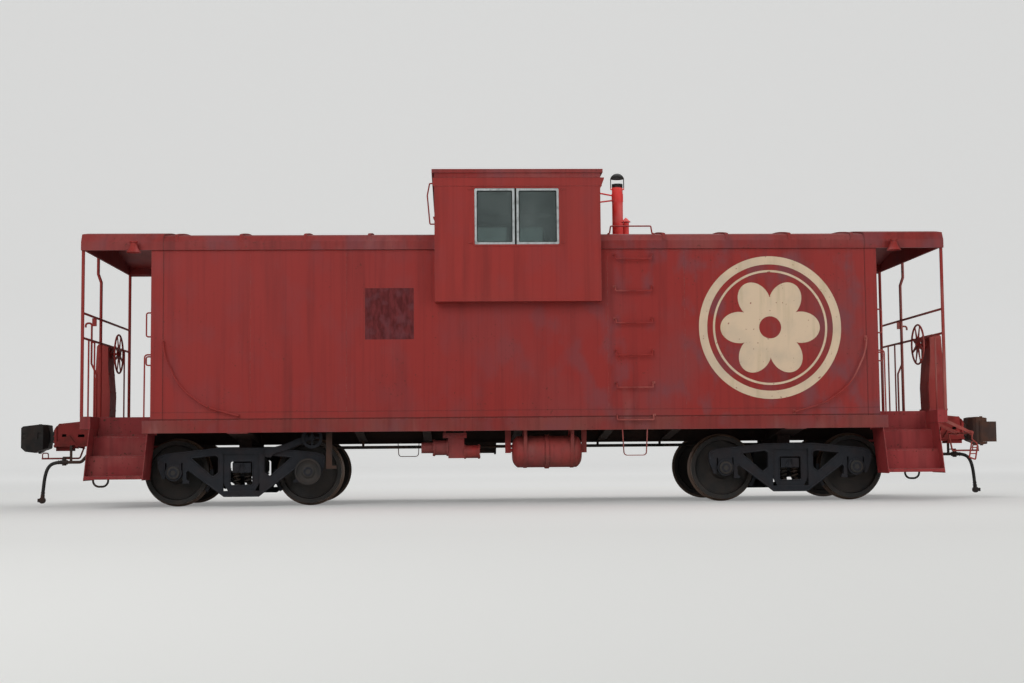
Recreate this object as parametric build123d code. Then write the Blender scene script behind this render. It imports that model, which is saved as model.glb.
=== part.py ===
from build123d import *
import math
import os

# Steel cupola caboose, in millimetres. X runs along the car, Y across it and Z up.
# The origin is under the middle of the car, level with the bottoms of the wheel flanges.
# End B is the +X end. End A is the same end turned half a circle about Z.

# Wheels and axles
tread_r = 419.0
flange_h = 26.0
flange_w = 32.0
wheel_back_y = 680.0
wheel_w = 140.0
rim_t = 60.0
web_t = 26.0
hub_r = 125.0
hub_w = 176.0
axle_r = 84.0
guard_r = 92.0
guard_len = 60.0
journal_r = 70.0
cap_r = 82.0
cap_t = 28.0
cap_face_y = 1112.0
sheave_r = 170.0
sheave_w = 44.0
sheave_lip = 22.0

# Trucks
truck_x = 3580.0
wheelbase = 1727.0
frame_in_y = 978.0
frame_t = 72.0
frame_top_z = 760.0
chord_t = 76.0
bottom_chord_z = 128.0
bottom_chord_t = 77.0
window_half = 235.0
column_w = 64.0
box_r = 106.0
bearing_gap = 0.3
jaw_half = 112.0
jaw_top_z = 575.0
spring_r = 52.0
spring_pitch = 150.0
bolster_half = 118.0
bolster_end_z = 440.0
bolster_end_t = 120.0
bowl_r = 190.0
bowl_top_z = 745.0
bowl_depth = 26.0
plate_gap = 0.5
plate_r = 162.0
side_bearing_y = 640.0
side_bearing_top = 700.0
side_bearing_gap = 6.0
shoe_gap = 8.0
shoe_t = 42.0
shoe_half_angle = 19.0
beam_w = 40.0
beam_h = 60.0
beam_z = 320.0

# Car body
body_half_len = 4680.0
body_half_w = 1420.0
porch_len = 880.0
platform_x = body_half_len + porch_len
wall_t = 80.0
floor_low_z = 1110.0
floor_t = 60.0
wall_top_z = 3300.0
sill_low_z = 950.0
sill_half_len = body_half_len + 100
sill_face_y = body_half_w + 10
sill_web_t = 20.0
sill_flange_w = 80.0
sill_flange_t = 15.0
board_x = -1650.0
board_w = 624.0
board_low_z = 2127.0
board_h = 660.0
board_t = 30.0
jack_pad_half = 130.0
jack_pad_w = 80.0
jack_pad_t = 12.0

# Centre sill, bolsters and draft gear
sill_half_w = 165.0
sill_t = 25.0
centre_low_z = 800.0
flange_reach = 50.0
flange_t = 15.0
body_bolster_half = 140.0
body_bolster_t = 15.0
bearer_t = 14.0
bearer_low = centre_low_z + 20
bearer_places = [-2050.0, -1180.0, 0.0, 1180.0, 2050.0]
striker_x = platform_x + 636
draft_in_x = platform_x + 273
striker_t = 30.0
striker_half_w = 190.0
striker_low_z = 785.0
striker_chamfer_len = 56.0
striker_chamfer_z = 1035.0
key_slots = [(153.0, 95.0, 930.0, 967.0), (394.0, 309.0, 924.0, 961.0)]
brace_y = 176.0
brace_t = 12.0
carrier_half_w = 120.0
carrier_low_z = 740.0

# Couplers
coupler_pivot_x = platform_x + 340
coupler_z = 896.0
shank_half_w = 65.0
shank_low_z = 849.0
shank_top_z = 1002.0
knuckle_face_x = striker_x + 474
head_len = 385.0
head_low_z = 718.0
head_top_z = 1102.0
head_pockets = [
    (120.0, 60.0, 222.0, 955.0, 990.0),
    (120.0, 60.0, 222.0, 895.0, 925.0),
    (320.0, 250.0, 168.0, 900.0, 990.0),
]
knuckle_half_h = 138.5
pivot_pin_r = 30.0
knuckle_pin_r = 21.0
pin_gap = 0.3
throat_half_w = 140.0
throat_low_z = 829.0
throat_top_z = 1021.0

# Roof
eave_half_w = body_half_w + 30
eave_h = 107.0
eave_low_z = wall_top_z - 15
eave_top_z = eave_low_z + eave_h
shoulder_half_w = eave_half_w - 55
shoulder_z = eave_top_z + 78
crown_z = shoulder_z + 140
roof_t = 50.0
ceiling_side_z = wall_top_z + 100
porch_roof_x = body_half_len - 162
roof_half_len = platform_x + 5
porch_rise = 26.0
first_cap_x = 1905.0
cap_pitch = 820.0
cap_w = 38.0
cap_h = 22.0
end_fascia_t = 25.0

# Cupola
cupola_half_len = 1066.0
cupola_overhang = 180.0
cupola_half_w = body_half_w + cupola_overhang
cupola_wall_t = 60.0
cupola_low_z = 2593.0
cupola_floor_t = 50.0
cupola_top_z = 4187.0
cupola_lip = 12.0
cupola_band_z = 4252.0
cupola_edge_z = 4299.0
cupola_crown_z = 4405.0
cupola_trim = 34.0
cupola_strip_z = 4077.0
cupola_strip_end = 20.0
cupola_strip_out = 6.0
cupola_window_x0 = -553.0
cupola_window_x1 = 530.0
cupola_window_z0 = 3324.0
cupola_window_z1 = 4048.0
end_window_y0 = 250.0
end_window_w = 640.0
end_window_low_z = 3860.0
end_window_h = 270.0
sash_t = 26.0
sash_w = 28.0
sash_corner = 18.0
sash_middle_x = -26.5
sash_gap = 25.0
pane_t = 6.0

# End platforms and steps
deck_z = 1170.0
deck_t = 20.0
end_sill_x = platform_x - 130
end_sill_low_z = 1010.0
step_in_y = body_half_w - 495
step_top_x = body_half_len + 30
step_top_z = 960.0
step_low_z = 357.0
step_w = porch_len - 138
step_slant = 0.1
step_plate_t = 10.0
tread_t = 20.0
tread_rise = 255.0
tread_count = 3
riser_low_z = 930.0

# End railings
post_x = platform_x - 15
post_y = body_half_w - 23
post_r = 21.0
rail_r = 15.0
upper_rail_z = 2490.0
lower_rail_z = 2172.0
baluster_r = 11.0
baluster_places = [-1060.0, 740.0, 1060.0]
jog_y = 400.0
jog_low_z = 2990.0
jog_top_z = 3105.0
jog_x = roof_half_len + 21
jog_end_z = 3530.0
cane_x = platform_x + 52
cane_y = 620.0
cane_r = 13.0

# Hand brake
stand_y = 480.0
stand_w = 380.0
stand_low_z = 1205.0
stand_top_z = 2210.0
wheel_z = 2085.0
wheel_x = platform_x - 65
wheel_r = 279.5
wheel_rim_r = 13.0
wheel_shaft_r = 16.0
shaft_gap = 0.4
spoke_count = 8
spoke_root_w = 58.0
spoke_tip_w = 16.0
spoke_t = 10.0

# End doors
door_half_w = 380.0
door_h = 1910.0
door_t = 42.0
door_gap = 6.0
hinge_out = 10.0
hinge_r = 10.0
hinge_pin_r = 4.0
hinge_h = 30.0
door_window_half = 190.0
door_window_low = 1010.0
door_window_h = 640.0
end_pane_y = 880.0
end_pane_half = 210.0

# Fittings below the floor
tank_r = 205.5
tank_x0 = -75.0
tank_x1 = 828.0
tank_y = -1050.0
tank_z = 677.0
tank_flange_r = 222.0
valve_y = -1050.0
pipe_r = 21.0
pipe_y = 330.0
pipe_z = 752.0
cock_x_a = platform_x + 430
cock_x_b = platform_x + 639
cock_z = 590.0
cock_len = 85.0
hose_r = 23.0

# Uncoupling levers and the strap beside truck A
lever_x = platform_x + 350
lever_z = 870.0
lever_low_z = 640.0
lever_end_y = 1330.0
lever_r = 12.0
strap_x = -2480.0
strap_w = 75.0
strap_y = -1147.0
strap_t = 12.0
strap_low_z = 480.0

# Grab irons and pipes on the body
rung_r = 9.5
rung_out = 65.0
rung_x0 = 1262.0
rung_x1 = 1729.0
rung_top_z = 3148.0
rung_pitch = 415.0
rung_count = 6
rung_rise = 61.0
jack_x = 1468.0
jack_r = 75.0
jack_top_z = cupola_crown_z - 22
jack_cap_r = 97.0
jack_cap_z = jack_top_z + 151
jack_band_top_z = jack_top_z - 138
jack_band_h = 109.0
stay_r = 11.0
vent_x = 1546.0
vent_y = -300.0
vent_r = 41.0
vent_top_z = crown_z + 180
lamp_x = body_half_len + 200
lamp_y = eave_half_w + 92
lamp_h = 143.0
lamp_top_z = eave_top_z - 8
lamp_low_z = lamp_top_z - lamp_h
lamp_r = 94.0
lamp_neck_r = 40.0

# Worked out from the values above
axle_z = tread_r + flange_h
half_base = wheelbase / 2
flange_r = tread_r + flange_h
wheel_face_y = wheel_back_y + wheel_w
frame_out_y = frame_in_y + frame_t
floor_top_z = floor_low_z + floor_t
inner_half_w = body_half_w - wall_t
inner_half_len = body_half_len - wall_t
door_top_z = floor_top_z + door_h
bottom_chord_top = bottom_chord_z + bottom_chord_t
step_out_y = body_half_w
tread_depth = (step_out_y - step_in_y) / tread_count
sill_in = sill_face_y - sill_web_t
lip_y = sill_in - sill_flange_w


# Small tools for shapes

def box(x0, x1, y0, y1, z0, z1):
    middle = ((x0 + x1) / 2, (y0 + y1) / 2, (z0 + z1) / 2)
    return Pos(*middle) * Box(x1 - x0, y1 - y0, z1 - z0)


def on_x(x):
    return lambda u, v: Vector(x, u, v)


def on_y(y):
    return lambda u, v: Vector(u, y, v)


def on_z(z):
    return lambda u, v: Vector(u, v, z)


def outline(place, steps):
    """Closed face. A step is (u, v) for a line, or (middle u, middle v, u, v) for an arc."""
    here = place(*steps[0][-2:])
    start = here
    edges = []
    for step in steps[1:]:
        there = place(*step[-2:])
        if len(step) == 4:
            edges.append(ThreePointArc(here, place(*step[:2]), there).edge())
        else:
            edges.append(Line(here, there).edge())
        here = there
    if (here - start).length > 0.001:
        edges.append(Line(here, start).edge())
    return Face(Wire(edges))


def slab_x(x0, x1, *steps):
    return extrude(outline(on_x(x0), steps), amount=x1 - x0, dir=(1, 0, 0))


def slab_y(y0, y1, *steps):
    return extrude(outline(on_y(y0), steps), amount=y1 - y0, dir=(0, 1, 0))


def slab_z(z0, z1, *steps):
    return extrude(outline(on_z(z0), steps), amount=z1 - z0, dir=(0, 0, 1))


def rod(start, end, r):
    way = Vector(*end) - Vector(*start)
    return extrude(Plane(origin=start, z_dir=way) * Circle(r), amount=way.length)


def bent_rod(points, r, bend):
    path = FilletPolyline(*points, radius=bend)
    return sweep(Plane(origin=path @ 0, z_dir=path % 0) * Circle(r), path=path)


def ring_x(x0, x1, y, z, r, hole=0.0):
    ring = rod((x0, y, z), (x1, y, z), r)
    if hole > 0:
        ring -= rod((x0 - 1, y, z), (x1 + 1, y, z), hole)
    return ring


def ring_y(y0, y1, x, z, r, hole=0.0):
    ring = rod((x, y0, z), (x, y1, z), r)
    if hole > 0:
        ring -= rod((x, y0 - 1, z), (x, y1 + 1, z), hole)
    return ring


def ring_z(z0, z1, x, y, r, hole=0.0):
    ring = rod((x, y, z0), (x, y, z1), r)
    if hole > 0:
        ring -= rod((x, y, z0 - 1), (x, y, z1 + 1), hole)
    return ring


def far_side(shape):
    return mirror(shape, about=Plane.XZ)


def turned(shape):
    return Rot(0, 0, 180) * shape


def save(name, *shapes):
    solids = [solid for shape in shapes for solid in shape.solids()]
    whole = Compound(solids) if len(solids) > 1 else solids[0]
    export_step(whole, f"parts/{name}.step")


os.makedirs("parts", exist_ok=True)


# Wheelsets: one revolved section for the axle, both wheels, the journals and the end caps

def wheelset(x, with_sheave):
    rim_in = tread_r - rim_t
    hub_y0 = wheel_back_y + (wheel_w - hub_w) / 2 + 20
    hub_y1 = hub_y0 + hub_w
    web_y0 = wheel_back_y + 52
    half = [
        (hub_y0, axle_r),
        (hub_y0, hub_r),
        (web_y0 + 14, hub_r + 30),
        (web_y0, rim_in - 12),
        (wheel_back_y, rim_in),
        (wheel_back_y, flange_r - 10),
        (wheel_back_y + 9, flange_r),
        (wheel_back_y + 20, flange_r - 3),
        (wheel_back_y + flange_w, tread_r + 2),
        (wheel_face_y, tread_r - 6),
        (wheel_face_y, rim_in),
        (web_y0 + web_t, rim_in - 12),
        (web_y0 + 14 + web_t, hub_r + 30),
        (hub_y1, hub_r),
        (hub_y1, guard_r),
        (hub_y1 + guard_len, guard_r),
        (hub_y1 + guard_len, journal_r),
        (cap_face_y - cap_t, journal_r),
        (cap_face_y - cap_t, cap_r),
        (cap_face_y - 8, cap_r),
        (cap_face_y, cap_r - 14),
    ]
    mirrored = [(-y, r) for y, r in reversed(half)]
    section = [(-cap_face_y, 0)] + mirrored + half + [(cap_face_y, 0)]
    face = outline(on_x(x), [(y, axle_z + r) for y, r in section])
    body = revolve(face, axis=Axis((x, 0, axle_z), (0, 1, 0)), revolution_arc=360)
    if with_sheave:
        y0 = -cap_face_y + cap_t
        rim = sheave_r - sheave_lip
        dish = [
            (y0, cap_r - 2),
            (y0, cap_r + 20),
            (y0 - 14, rim),
            (y0, sheave_r),
            (y0 - sheave_w, sheave_r),
            (y0 - sheave_w, rim),
            (y0 - 24, rim),
            (y0 - 10, cap_r + 18),
            (y0 - 10, cap_r - 2),
        ]
        face = outline(on_x(x), [(y, axle_z + r) for y, r in dish])
        body += revolve(face, axis=Axis((x, 0, axle_z), (0, 1, 0)), revolution_arc=360)
    return body


wheel_places = [
    ("wheelset_a1", -truck_x - half_base, False),
    ("wheelset_a2", -truck_x + half_base, True),
    ("wheelset_b1", truck_x - half_base, False),
    ("wheelset_b2", truck_x + half_base, False),
]
for wheel_name, wheel_place, sheave in wheel_places:
    save(wheel_name, wheelset(wheel_place, sheave))


# Truck side frames, drawn about the truck's centre on the far side

def side_frame():
    top = frame_top_z
    knee = window_half + column_w + 16
    right = [
        (knee, top),
        (half_base + 105, top - 67),
        (half_base + 182, top - 95),
        (half_base + 205, top - 120, half_base + 212, top - 160),
        (half_base + 205, axle_z + 75),
        (half_base + 148, axle_z - 77),
        (half_base + jaw_half, axle_z - 77),
        (half_base + jaw_half, jaw_top_z),
        (half_base - jaw_half, jaw_top_z),
        (half_base - jaw_half, axle_z - 138),
        (half_base - jaw_half - 80, axle_z - 138),
        (half_base - jaw_half - 80, axle_z - 112),
        (half_base - jaw_half - 50, axle_z - 92),
        (half_base - jaw_half - 44, axle_z + 20),
        (half_base - jaw_half - 62, axle_z + 51),
        (window_half - 13, bottom_chord_z),
    ]
    left = [tuple(v if i % 2 else -v for i, v in enumerate(step)) for step in reversed(right)]
    # The arc at each end keeps its own middle point when the outline is mirrored
    end_arc = (-(half_base + 205), top - 120)
    left[12] = (-(half_base + 212), top - 160)
    left[13] = (*end_arc, -(half_base + 182), top - 95)
    frame = slab_y(frame_in_y, frame_out_y, *right, *left, right[0])
    frame -= box(
        -window_half, window_half, frame_in_y - 1, frame_out_y + 1, bottom_chord_top, top - chord_t
    )
    column = window_half + column_w
    for side in (-1, 1):
        opening = outline(
            on_y(frame_in_y - 1),
            [
                (side * (half_base - 208), axle_z + 180),
                (side * (column + 32), top - chord_t - 24),
                (side * column, top - chord_t - 50),
                (side * column, axle_z + 2),
                (side * (column + 66), axle_z - 54),
            ],
        )
        opening = fillet(opening.vertices(), 16)
        frame -= extrude(opening, amount=frame_t + 2, dir=(0, 1, 0))
    # Guard plate with its square window, and the shelf that carries the springs
    plate = slab_y(
        frame_in_y + 22,
        frame_in_y + 46,
        (-window_half, top - chord_t),
        (window_half, top - chord_t),
        (window_half, bottom_chord_top + 110),
        (window_half - 60, bottom_chord_top),
        (-window_half + 60, bottom_chord_top),
        (-window_half, bottom_chord_top + 110),
    )
    window = box(
        -(bolster_half + 22), bolster_half + 22, frame_in_y, frame_out_y, axle_z - 166, axle_z + 139
    )
    window = fillet(window.edges().filter_by(Axis.Y), 28)
    frame += plate - window
    frame += box(-180, 180, frame_in_y - 110, frame_in_y, bottom_chord_top - 24, bottom_chord_top)
    # Bearing boxes with their seats in the pedestals
    for x in (-half_base, half_base):
        seat = box(x - 92, x + 92, frame_in_y, frame_out_y, axle_z, jaw_top_z)
        seat += ring_y(frame_in_y, cap_face_y - cap_t - 2, x, axle_z, box_r)
        frame += seat - ring_y(frame_in_y - 1, cap_face_y, x, axle_z, journal_r + bearing_gap)
    return frame


def bolster():
    end_y = frame_in_y + 34
    low = bolster_end_z
    high = bolster_end_z + bolster_end_t
    deck = bowl_top_z - bowl_depth - 22
    beam = slab_x(
        -bolster_half,
        bolster_half,
        (-end_y, low),
        (-end_y, high),
        (-side_bearing_y, high + 90),
        (-bowl_r - 160, deck),
        (bowl_r + 160, deck),
        (side_bearing_y, high + 90),
        (end_y, high),
        (end_y, low),
        (end_y - 160, low),
        (420, low - 60),
        (-420, low - 60),
        (-end_y + 160, low),
    )
    beam += ring_z(deck, bowl_top_z, 0, 0, bowl_r)
    beam -= ring_z(bowl_top_z - bowl_depth, bowl_top_z + 1, 0, 0, plate_r + 3)
    for side in (-1, 1):
        y = side * side_bearing_y
        beam += box(-90, 90, y - 40, y + 40, high, side_bearing_top)
    return beam


def springs():
    """Coils shown as stacked turns: one revolved wavy section for each."""
    turns = 6
    low = bottom_chord_top
    high = bolster_end_z
    step = (high - low) / turns
    steps = [(0, low), (spring_r - 12, low)]
    for turn in range(turns):
        z = low + turn * step
        steps.append((spring_r, z + step / 2, spring_r - 12, z + step))
    steps.append((0, high))
    packs = []
    for side in (-1, 1):
        for x in (-spring_pitch / 2, spring_pitch / 2):
            y = side * (frame_in_y - spring_r - 4)
            coil = revolve(outline(on_y(0), steps), axis=Axis.Z, revolution_arc=360)
            packs.append(Pos(x, y, 0) * coil)
    return packs


def brake_beam(side):
    """Beam, shoes and strut on the inner side of one wheelset. side is -1 or 1 along X."""
    shoe_in = tread_r + shoe_gap
    shoe_out = shoe_in + shoe_t
    beam_x = half_base - shoe_out - 24
    beam = box(
        beam_x - beam_w / 2, beam_x + beam_w / 2, -frame_in_y, frame_in_y,
        beam_z - beam_h / 2, beam_z + beam_h / 2,
    )
    strut = slab_z(
        beam_z - 12,
        beam_z + 12,
        (beam_x, -560),
        (beam_x - 130, -30),
        (beam_x - 130, 30),
        (beam_x, 560),
        (beam_x, 470),
        (beam_x - 95, 20),
        (beam_x - 95, -20),
        (beam_x, -470),
    )
    beam += strut
    facing = math.atan2(beam_z - axle_z, beam_x - half_base)
    for y in (-1, 1):
        low, high = sorted((y * (wheel_back_y + flange_w + 12), y * (wheel_face_y - 8)))
        ends = []
        for angle in (-shoe_half_angle, 0, shoe_half_angle):
            way = facing + math.radians(angle)
            ends.append((math.cos(way), math.sin(way)))
        inner = [(half_base + c * shoe_in, axle_z + s * shoe_in) for c, s in ends]
        outer = [(half_base + c * shoe_out, axle_z + s * shoe_out) for c, s in ends]
        beam += slab_y(
            low, high, inner[0], (*inner[1], *inner[2]), outer[2], (*outer[1], *outer[0])
        )
        beam += box(beam_x - 18, beam_x + 50, low + 16, high - 16, beam_z - 38, beam_z + 50)
    return beam if side > 0 else turned(beam)


def drive_arm():
    """Arm and ring pulley on the near side frame of truck A, over its inner axle."""
    arm_y = -frame_out_y
    arm = slab_y(
        arm_y - 40,
        arm_y,
        (320, 640),
        (300, 700),
        (330, 745),
        (560, 800),
        (860, 925),
        (900, 860),
        (620, 740),
        (420, 680),
        (380, 630),
    )
    pulley = ring_y(arm_y - 66, arm_y - 40, half_base + 52, axle_z + 434, 135, 98)
    spider = box(half_base - 60, half_base + 164, arm_y - 54, arm_y - 40, 866, 892)
    spider += box(half_base + 39, half_base + 65, arm_y - 54, arm_y - 40, 770, 985)
    hub = ring_y(arm_y - 66, arm_y, half_base + 52, axle_z + 434, 34)
    return arm + pulley + spider + hub


frame_near = far_side(side_frame())
frame_far = side_frame()
truck_bolster = bolster()
truck_springs = springs()
rigging = [brake_beam(1), brake_beam(-1)]
for end, x in (("a", -truck_x), ("b", truck_x)):
    place = Pos(x, 0, 0)
    near = frame_near + drive_arm() if end == "a" else frame_near
    save(f"truck_frames_{end}", place * near, place * frame_far)
    save(f"truck_bolster_{end}", place * truck_bolster)
    save(f"truck_springs_{end}", *[place * spring for spring in truck_springs])
    save(f"truck_brakes_{end}", *[place * piece for piece in rigging])


# Underframe: centre sill, draft boxes, body bolsters and cross-bearers in one weldment

def cross_web(x, t, low_mid, foot):
    """Tapered web from the centre sill to the side sills, with a flange under it."""
    web = None
    for side in (-1, 1):
        piece = slab_x(
            x - t / 2,
            x + t / 2,
            (side * sill_half_w, low_mid),
            (side * lip_y, sill_low_z),
            (side * lip_y, sill_low_z + sill_flange_t),
            (side * sill_in, sill_low_z + sill_flange_t),
            (side * sill_in, floor_low_z - sill_flange_t),
            (side * lip_y, floor_low_z - sill_flange_t),
            (side * lip_y, floor_low_z),
            (side * sill_half_w, floor_low_z),
        )
        piece += slab_x(
            x - foot / 2,
            x + foot / 2,
            (side * sill_half_w, low_mid),
            (side * lip_y, sill_low_z),
            (side * lip_y, sill_low_z + flange_t),
            (side * sill_half_w, low_mid + flange_t),
        )
        web = piece if web is None else web + piece
    return web


def underframe():
    sill = box(-striker_x, striker_x, -sill_half_w, sill_half_w, centre_low_z, floor_low_z)
    inner = sill_half_w - sill_t
    hollow_top = floor_low_z - sill_t
    sill -= box(-draft_in_x, draft_in_x, -inner, inner, centre_low_z - 1, hollow_top)
    sill_bottom = box(
        -striker_x + 1, striker_x - 1, -sill_half_w - flange_reach, sill_half_w + flange_reach,
        centre_low_z, centre_low_z + flange_t,
    )
    sill_bottom -= box(-draft_in_x, draft_in_x, -inner, inner, centre_low_z - 1, hollow_top)
    sill += sill_bottom
    for side in (-1, 1):
        x0, x1 = sorted((side * draft_in_x, side * (striker_x + 1)))
        sill -= box(x0, x1, -throat_half_w, throat_half_w, throat_low_z, throat_top_z)
        x0, x1 = sorted((side * (striker_x - striker_t), side * striker_x))
        flange = box(x0, x1, -striker_half_w, striker_half_w, striker_low_z, floor_low_z)
        flange -= box(x0 - 1, x1 + 1, -throat_half_w, throat_half_w, throat_low_z, throat_top_z)
        sill += flange
        sill -= slab_y(
            -striker_half_w - 1,
            striker_half_w + 1,
            (side * (striker_x - striker_chamfer_len), floor_low_z + 1),
            (side * (striker_x + 1), striker_chamfer_z),
            (side * (striker_x + 1), floor_low_z + 1),
        )
        x0, x1 = sorted((side * (striker_x - 206), side * (striker_x - 6)))
        sill += box(x0, x1, -carrier_half_w, carrier_half_w, carrier_low_z, centre_low_z + 1)
        for y_side in (-1, 1):
            y0, y1 = sorted((y_side * (throat_half_w - 1), y_side * (sill_half_w + 1)))
            for back, front, z0, z1 in key_slots:
                x0, x1 = sorted((side * (striker_x - back), side * (striker_x - front)))
                sill -= box(x0, x1, y0, y1, z0, z1)
            # Brace web from the striker's foot back along the draft box
            y0, y1 = sorted((y_side * brace_y, y_side * (brace_y + brace_t)))
            sill += slab_y(
                y0,
                y1,
                (side * (striker_x - 327), 768),
                (side * (striker_x - 3), 811),
                (side * (striker_x - 1), 848),
                (side * (striker_x - 199), 951),
            )
        sill += ring_z(
            throat_low_z - 5, throat_top_z + 5, side * coupler_pivot_x, 0, pivot_pin_r
        )
        # Body bolster: two tapered webs, a bottom plate and the centre plate
        bolster_x = side * truck_x
        for offset in (-1, 1):
            web_x = bolster_x + offset * (body_bolster_half - body_bolster_t / 2)
            sill += cross_web(web_x, body_bolster_t, centre_low_z, body_bolster_t)
        sill += cross_web(bolster_x, body_bolster_t, centre_low_z, 2 * body_bolster_half)
        low = bowl_top_z - bowl_depth + plate_gap
        sill += ring_z(low, centre_low_z, bolster_x, 0, plate_r)
        sill += box(
            bolster_x - body_bolster_half, bolster_x + body_bolster_half, -sill_half_w, sill_half_w,
            centre_low_z, centre_low_z + 20,
        )
        for y in (-side_bearing_y, side_bearing_y):
            sill += box(
                bolster_x - 80, bolster_x + 80, y - 34, y + 34,
                side_bearing_top + side_bearing_gap, centre_low_z + 80,
            )
    for x in bearer_places:
        sill += cross_web(x, bearer_t, bearer_low, 110)
    return sill


def side_sill(side):
    steps = [
        (side * sill_face_y, sill_low_z),
        (side * sill_face_y, floor_low_z),
        (side * lip_y, floor_low_z),
        (side * lip_y, floor_low_z - sill_flange_t),
        (side * sill_in, floor_low_z - sill_flange_t),
        (side * sill_in, sill_low_z + sill_flange_t),
        (side * lip_y, sill_low_z + sill_flange_t),
        (side * lip_y, sill_low_z),
    ]
    sill = slab_x(-sill_half_len, sill_half_len, *steps)
    # Jack pads under the sill at the body bolsters
    pad_y = lip_y + 10
    y0, y1 = sorted((side * pad_y, side * (pad_y + jack_pad_w)))
    for x in (-truck_x, truck_x):
        sill += box(
            x - jack_pad_half, x + jack_pad_half, y0, y1, sill_low_z - jack_pad_t, sill_low_z + 1
        )
    return sill


save("underframe", underframe())
save("side_sills", side_sill(-1), side_sill(1))
save("floor", box(-body_half_len, body_half_len, -inner_half_w, inner_half_w, floor_low_z, floor_top_z))


# Side walls, with the cut for the cupola and one boarded window in each

def side_wall():
    wall = box(
        -body_half_len, body_half_len, -body_half_w, -inner_half_w, floor_low_z, wall_top_z
    )
    cut = cupola_half_len - cupola_wall_t
    wall -= box(-cut, cut, -body_half_w - 1, -inner_half_w + 1, cupola_low_z + cupola_floor_t, wall_top_z + 1)
    wall -= box(
        board_x - board_w / 2, board_x + board_w / 2, -body_half_w - 1, -inner_half_w + 1,
        board_low_z, board_low_z + board_h,
    )
    return wall


def window_board():
    face_y = body_half_w - 4
    return box(
        board_x - board_w / 2, board_x + board_w / 2, -face_y, -face_y + board_t,
        board_low_z, board_low_z + board_h,
    )


save("side_wall_near", side_wall())
save("side_wall_far", turned(side_wall()))
save("window_boards", window_board(), turned(window_board()))


# End walls, doors and their panes, drawn at end B

hinge_x = inner_half_len - hinge_out
hinge_y = door_half_w - 3
hinge_heights = [floor_top_z + share * door_h for share in (0.12, 0.5, 0.86)]
seat_gap = 0.3


def end_wall():
    wall = slab_x(
        inner_half_len,
        body_half_len,
        (-inner_half_w, floor_top_z),
        (inner_half_w, floor_top_z),
        (inner_half_w, ceiling_side_z - seat_gap),
        (0, crown_z - roof_t - seat_gap, -inner_half_w, ceiling_side_z - seat_gap),
    )
    wall -= box(
        inner_half_len - 1, body_half_len + 1, -door_half_w, door_half_w, floor_top_z - 1, door_top_z
    )
    wall -= box(
        inner_half_len - 1, body_half_len + 1, end_pane_y - end_pane_half, end_pane_y + end_pane_half,
        floor_top_z + door_window_low, floor_top_z + door_window_low + door_window_h,
    )
    for z in hinge_heights:
        knuckle = ring_z(z - hinge_h, z - seat_gap, hinge_x, hinge_y, hinge_r)
        knuckle += box(hinge_x, inner_half_len, hinge_y, hinge_y + 24, z - hinge_h, z - seat_gap)
        knuckle += ring_z(z - seat_gap - 1, z + hinge_h, hinge_x, hinge_y, hinge_pin_r)
        wall += knuckle
    return wall


def door():
    x0 = inner_half_len + 2
    x1 = x0 + door_t
    edge = door_half_w - door_gap
    low = floor_top_z + door_gap
    leaf = box(x0, x1, -edge, edge, low, door_top_z - door_gap)
    z0 = floor_top_z + door_window_low
    z1 = z0 + door_window_h
    leaf -= box(x0 - 1, x1 + 1, -door_window_half, door_window_half, z0, z1)
    # Recessed lower panel on both faces
    for face in (x0, x1):
        leaf -= box(
            face - 8, face + 8, -edge + 110, edge - 110, low + 150, z0 - 130
        )
    for z in hinge_heights:
        strap = ring_z(z, z + hinge_h, hinge_x, hinge_y, hinge_r)
        strap += box(hinge_x, x0 + 1, hinge_y - 30, hinge_y - 3, z, z + hinge_h)
        strap += box(hinge_x - 3, hinge_x + 3, hinge_y - 30, hinge_y, z, z + hinge_h)
        strap -= ring_z(z - 1, z + hinge_h + 1, hinge_x, hinge_y, hinge_pin_r + seat_gap)
        leaf += strap
    handle_z = floor_top_z + 900
    leaf += rod((x0 - 46, -edge + 60, handle_z), (x1 + 46, -edge + 60, handle_z), 9)
    for x in (x0 - 46, x1 + 46):
        leaf += rod((x, -edge + 48, handle_z), (x, -edge + 170, handle_z), 9)
    return leaf


def door_pane():
    x0 = inner_half_len + 2 + door_t / 2
    z0 = floor_top_z + door_window_low
    return box(
        x0 - pane_t / 2, x0 + pane_t / 2, -door_window_half, door_window_half, z0, z0 + door_window_h
    )


def end_pane():
    x0 = inner_half_len + wall_t / 2
    z0 = floor_top_z + door_window_low
    return box(
        x0 - pane_t / 2, x0 + pane_t / 2, end_pane_y - end_pane_half, end_pane_y + end_pane_half,
        z0, z0 + door_window_h,
    )


save("end_wall_b", end_wall())
save("end_wall_a", turned(end_wall()))
save("door_b", door())
save("door_a", turned(door()))
save("door_pane_b", door_pane())
save("door_pane_a", turned(door_pane()))
save("end_panes", end_pane(), turned(end_pane()))


# Roof: one arched section carried along the car, thicker over the porches

def roof_section(rise):
    return [
        (eave_half_w, eave_low_z),
        (eave_half_w, eave_top_z),
        (shoulder_half_w, shoulder_z + rise),
        (0, crown_z + rise, -shoulder_half_w, shoulder_z + rise),
        (-eave_half_w, eave_top_z),
        (-eave_half_w, eave_low_z),
        (-body_half_w, eave_low_z),
        (-body_half_w, wall_top_z),
        (-inner_half_w, wall_top_z),
        (-inner_half_w, ceiling_side_z),
        (0, crown_z - roof_t, inner_half_w, ceiling_side_z),
        (inner_half_w, wall_top_z),
        (body_half_w, wall_top_z),
        (body_half_w, eave_low_z),
    ]


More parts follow.
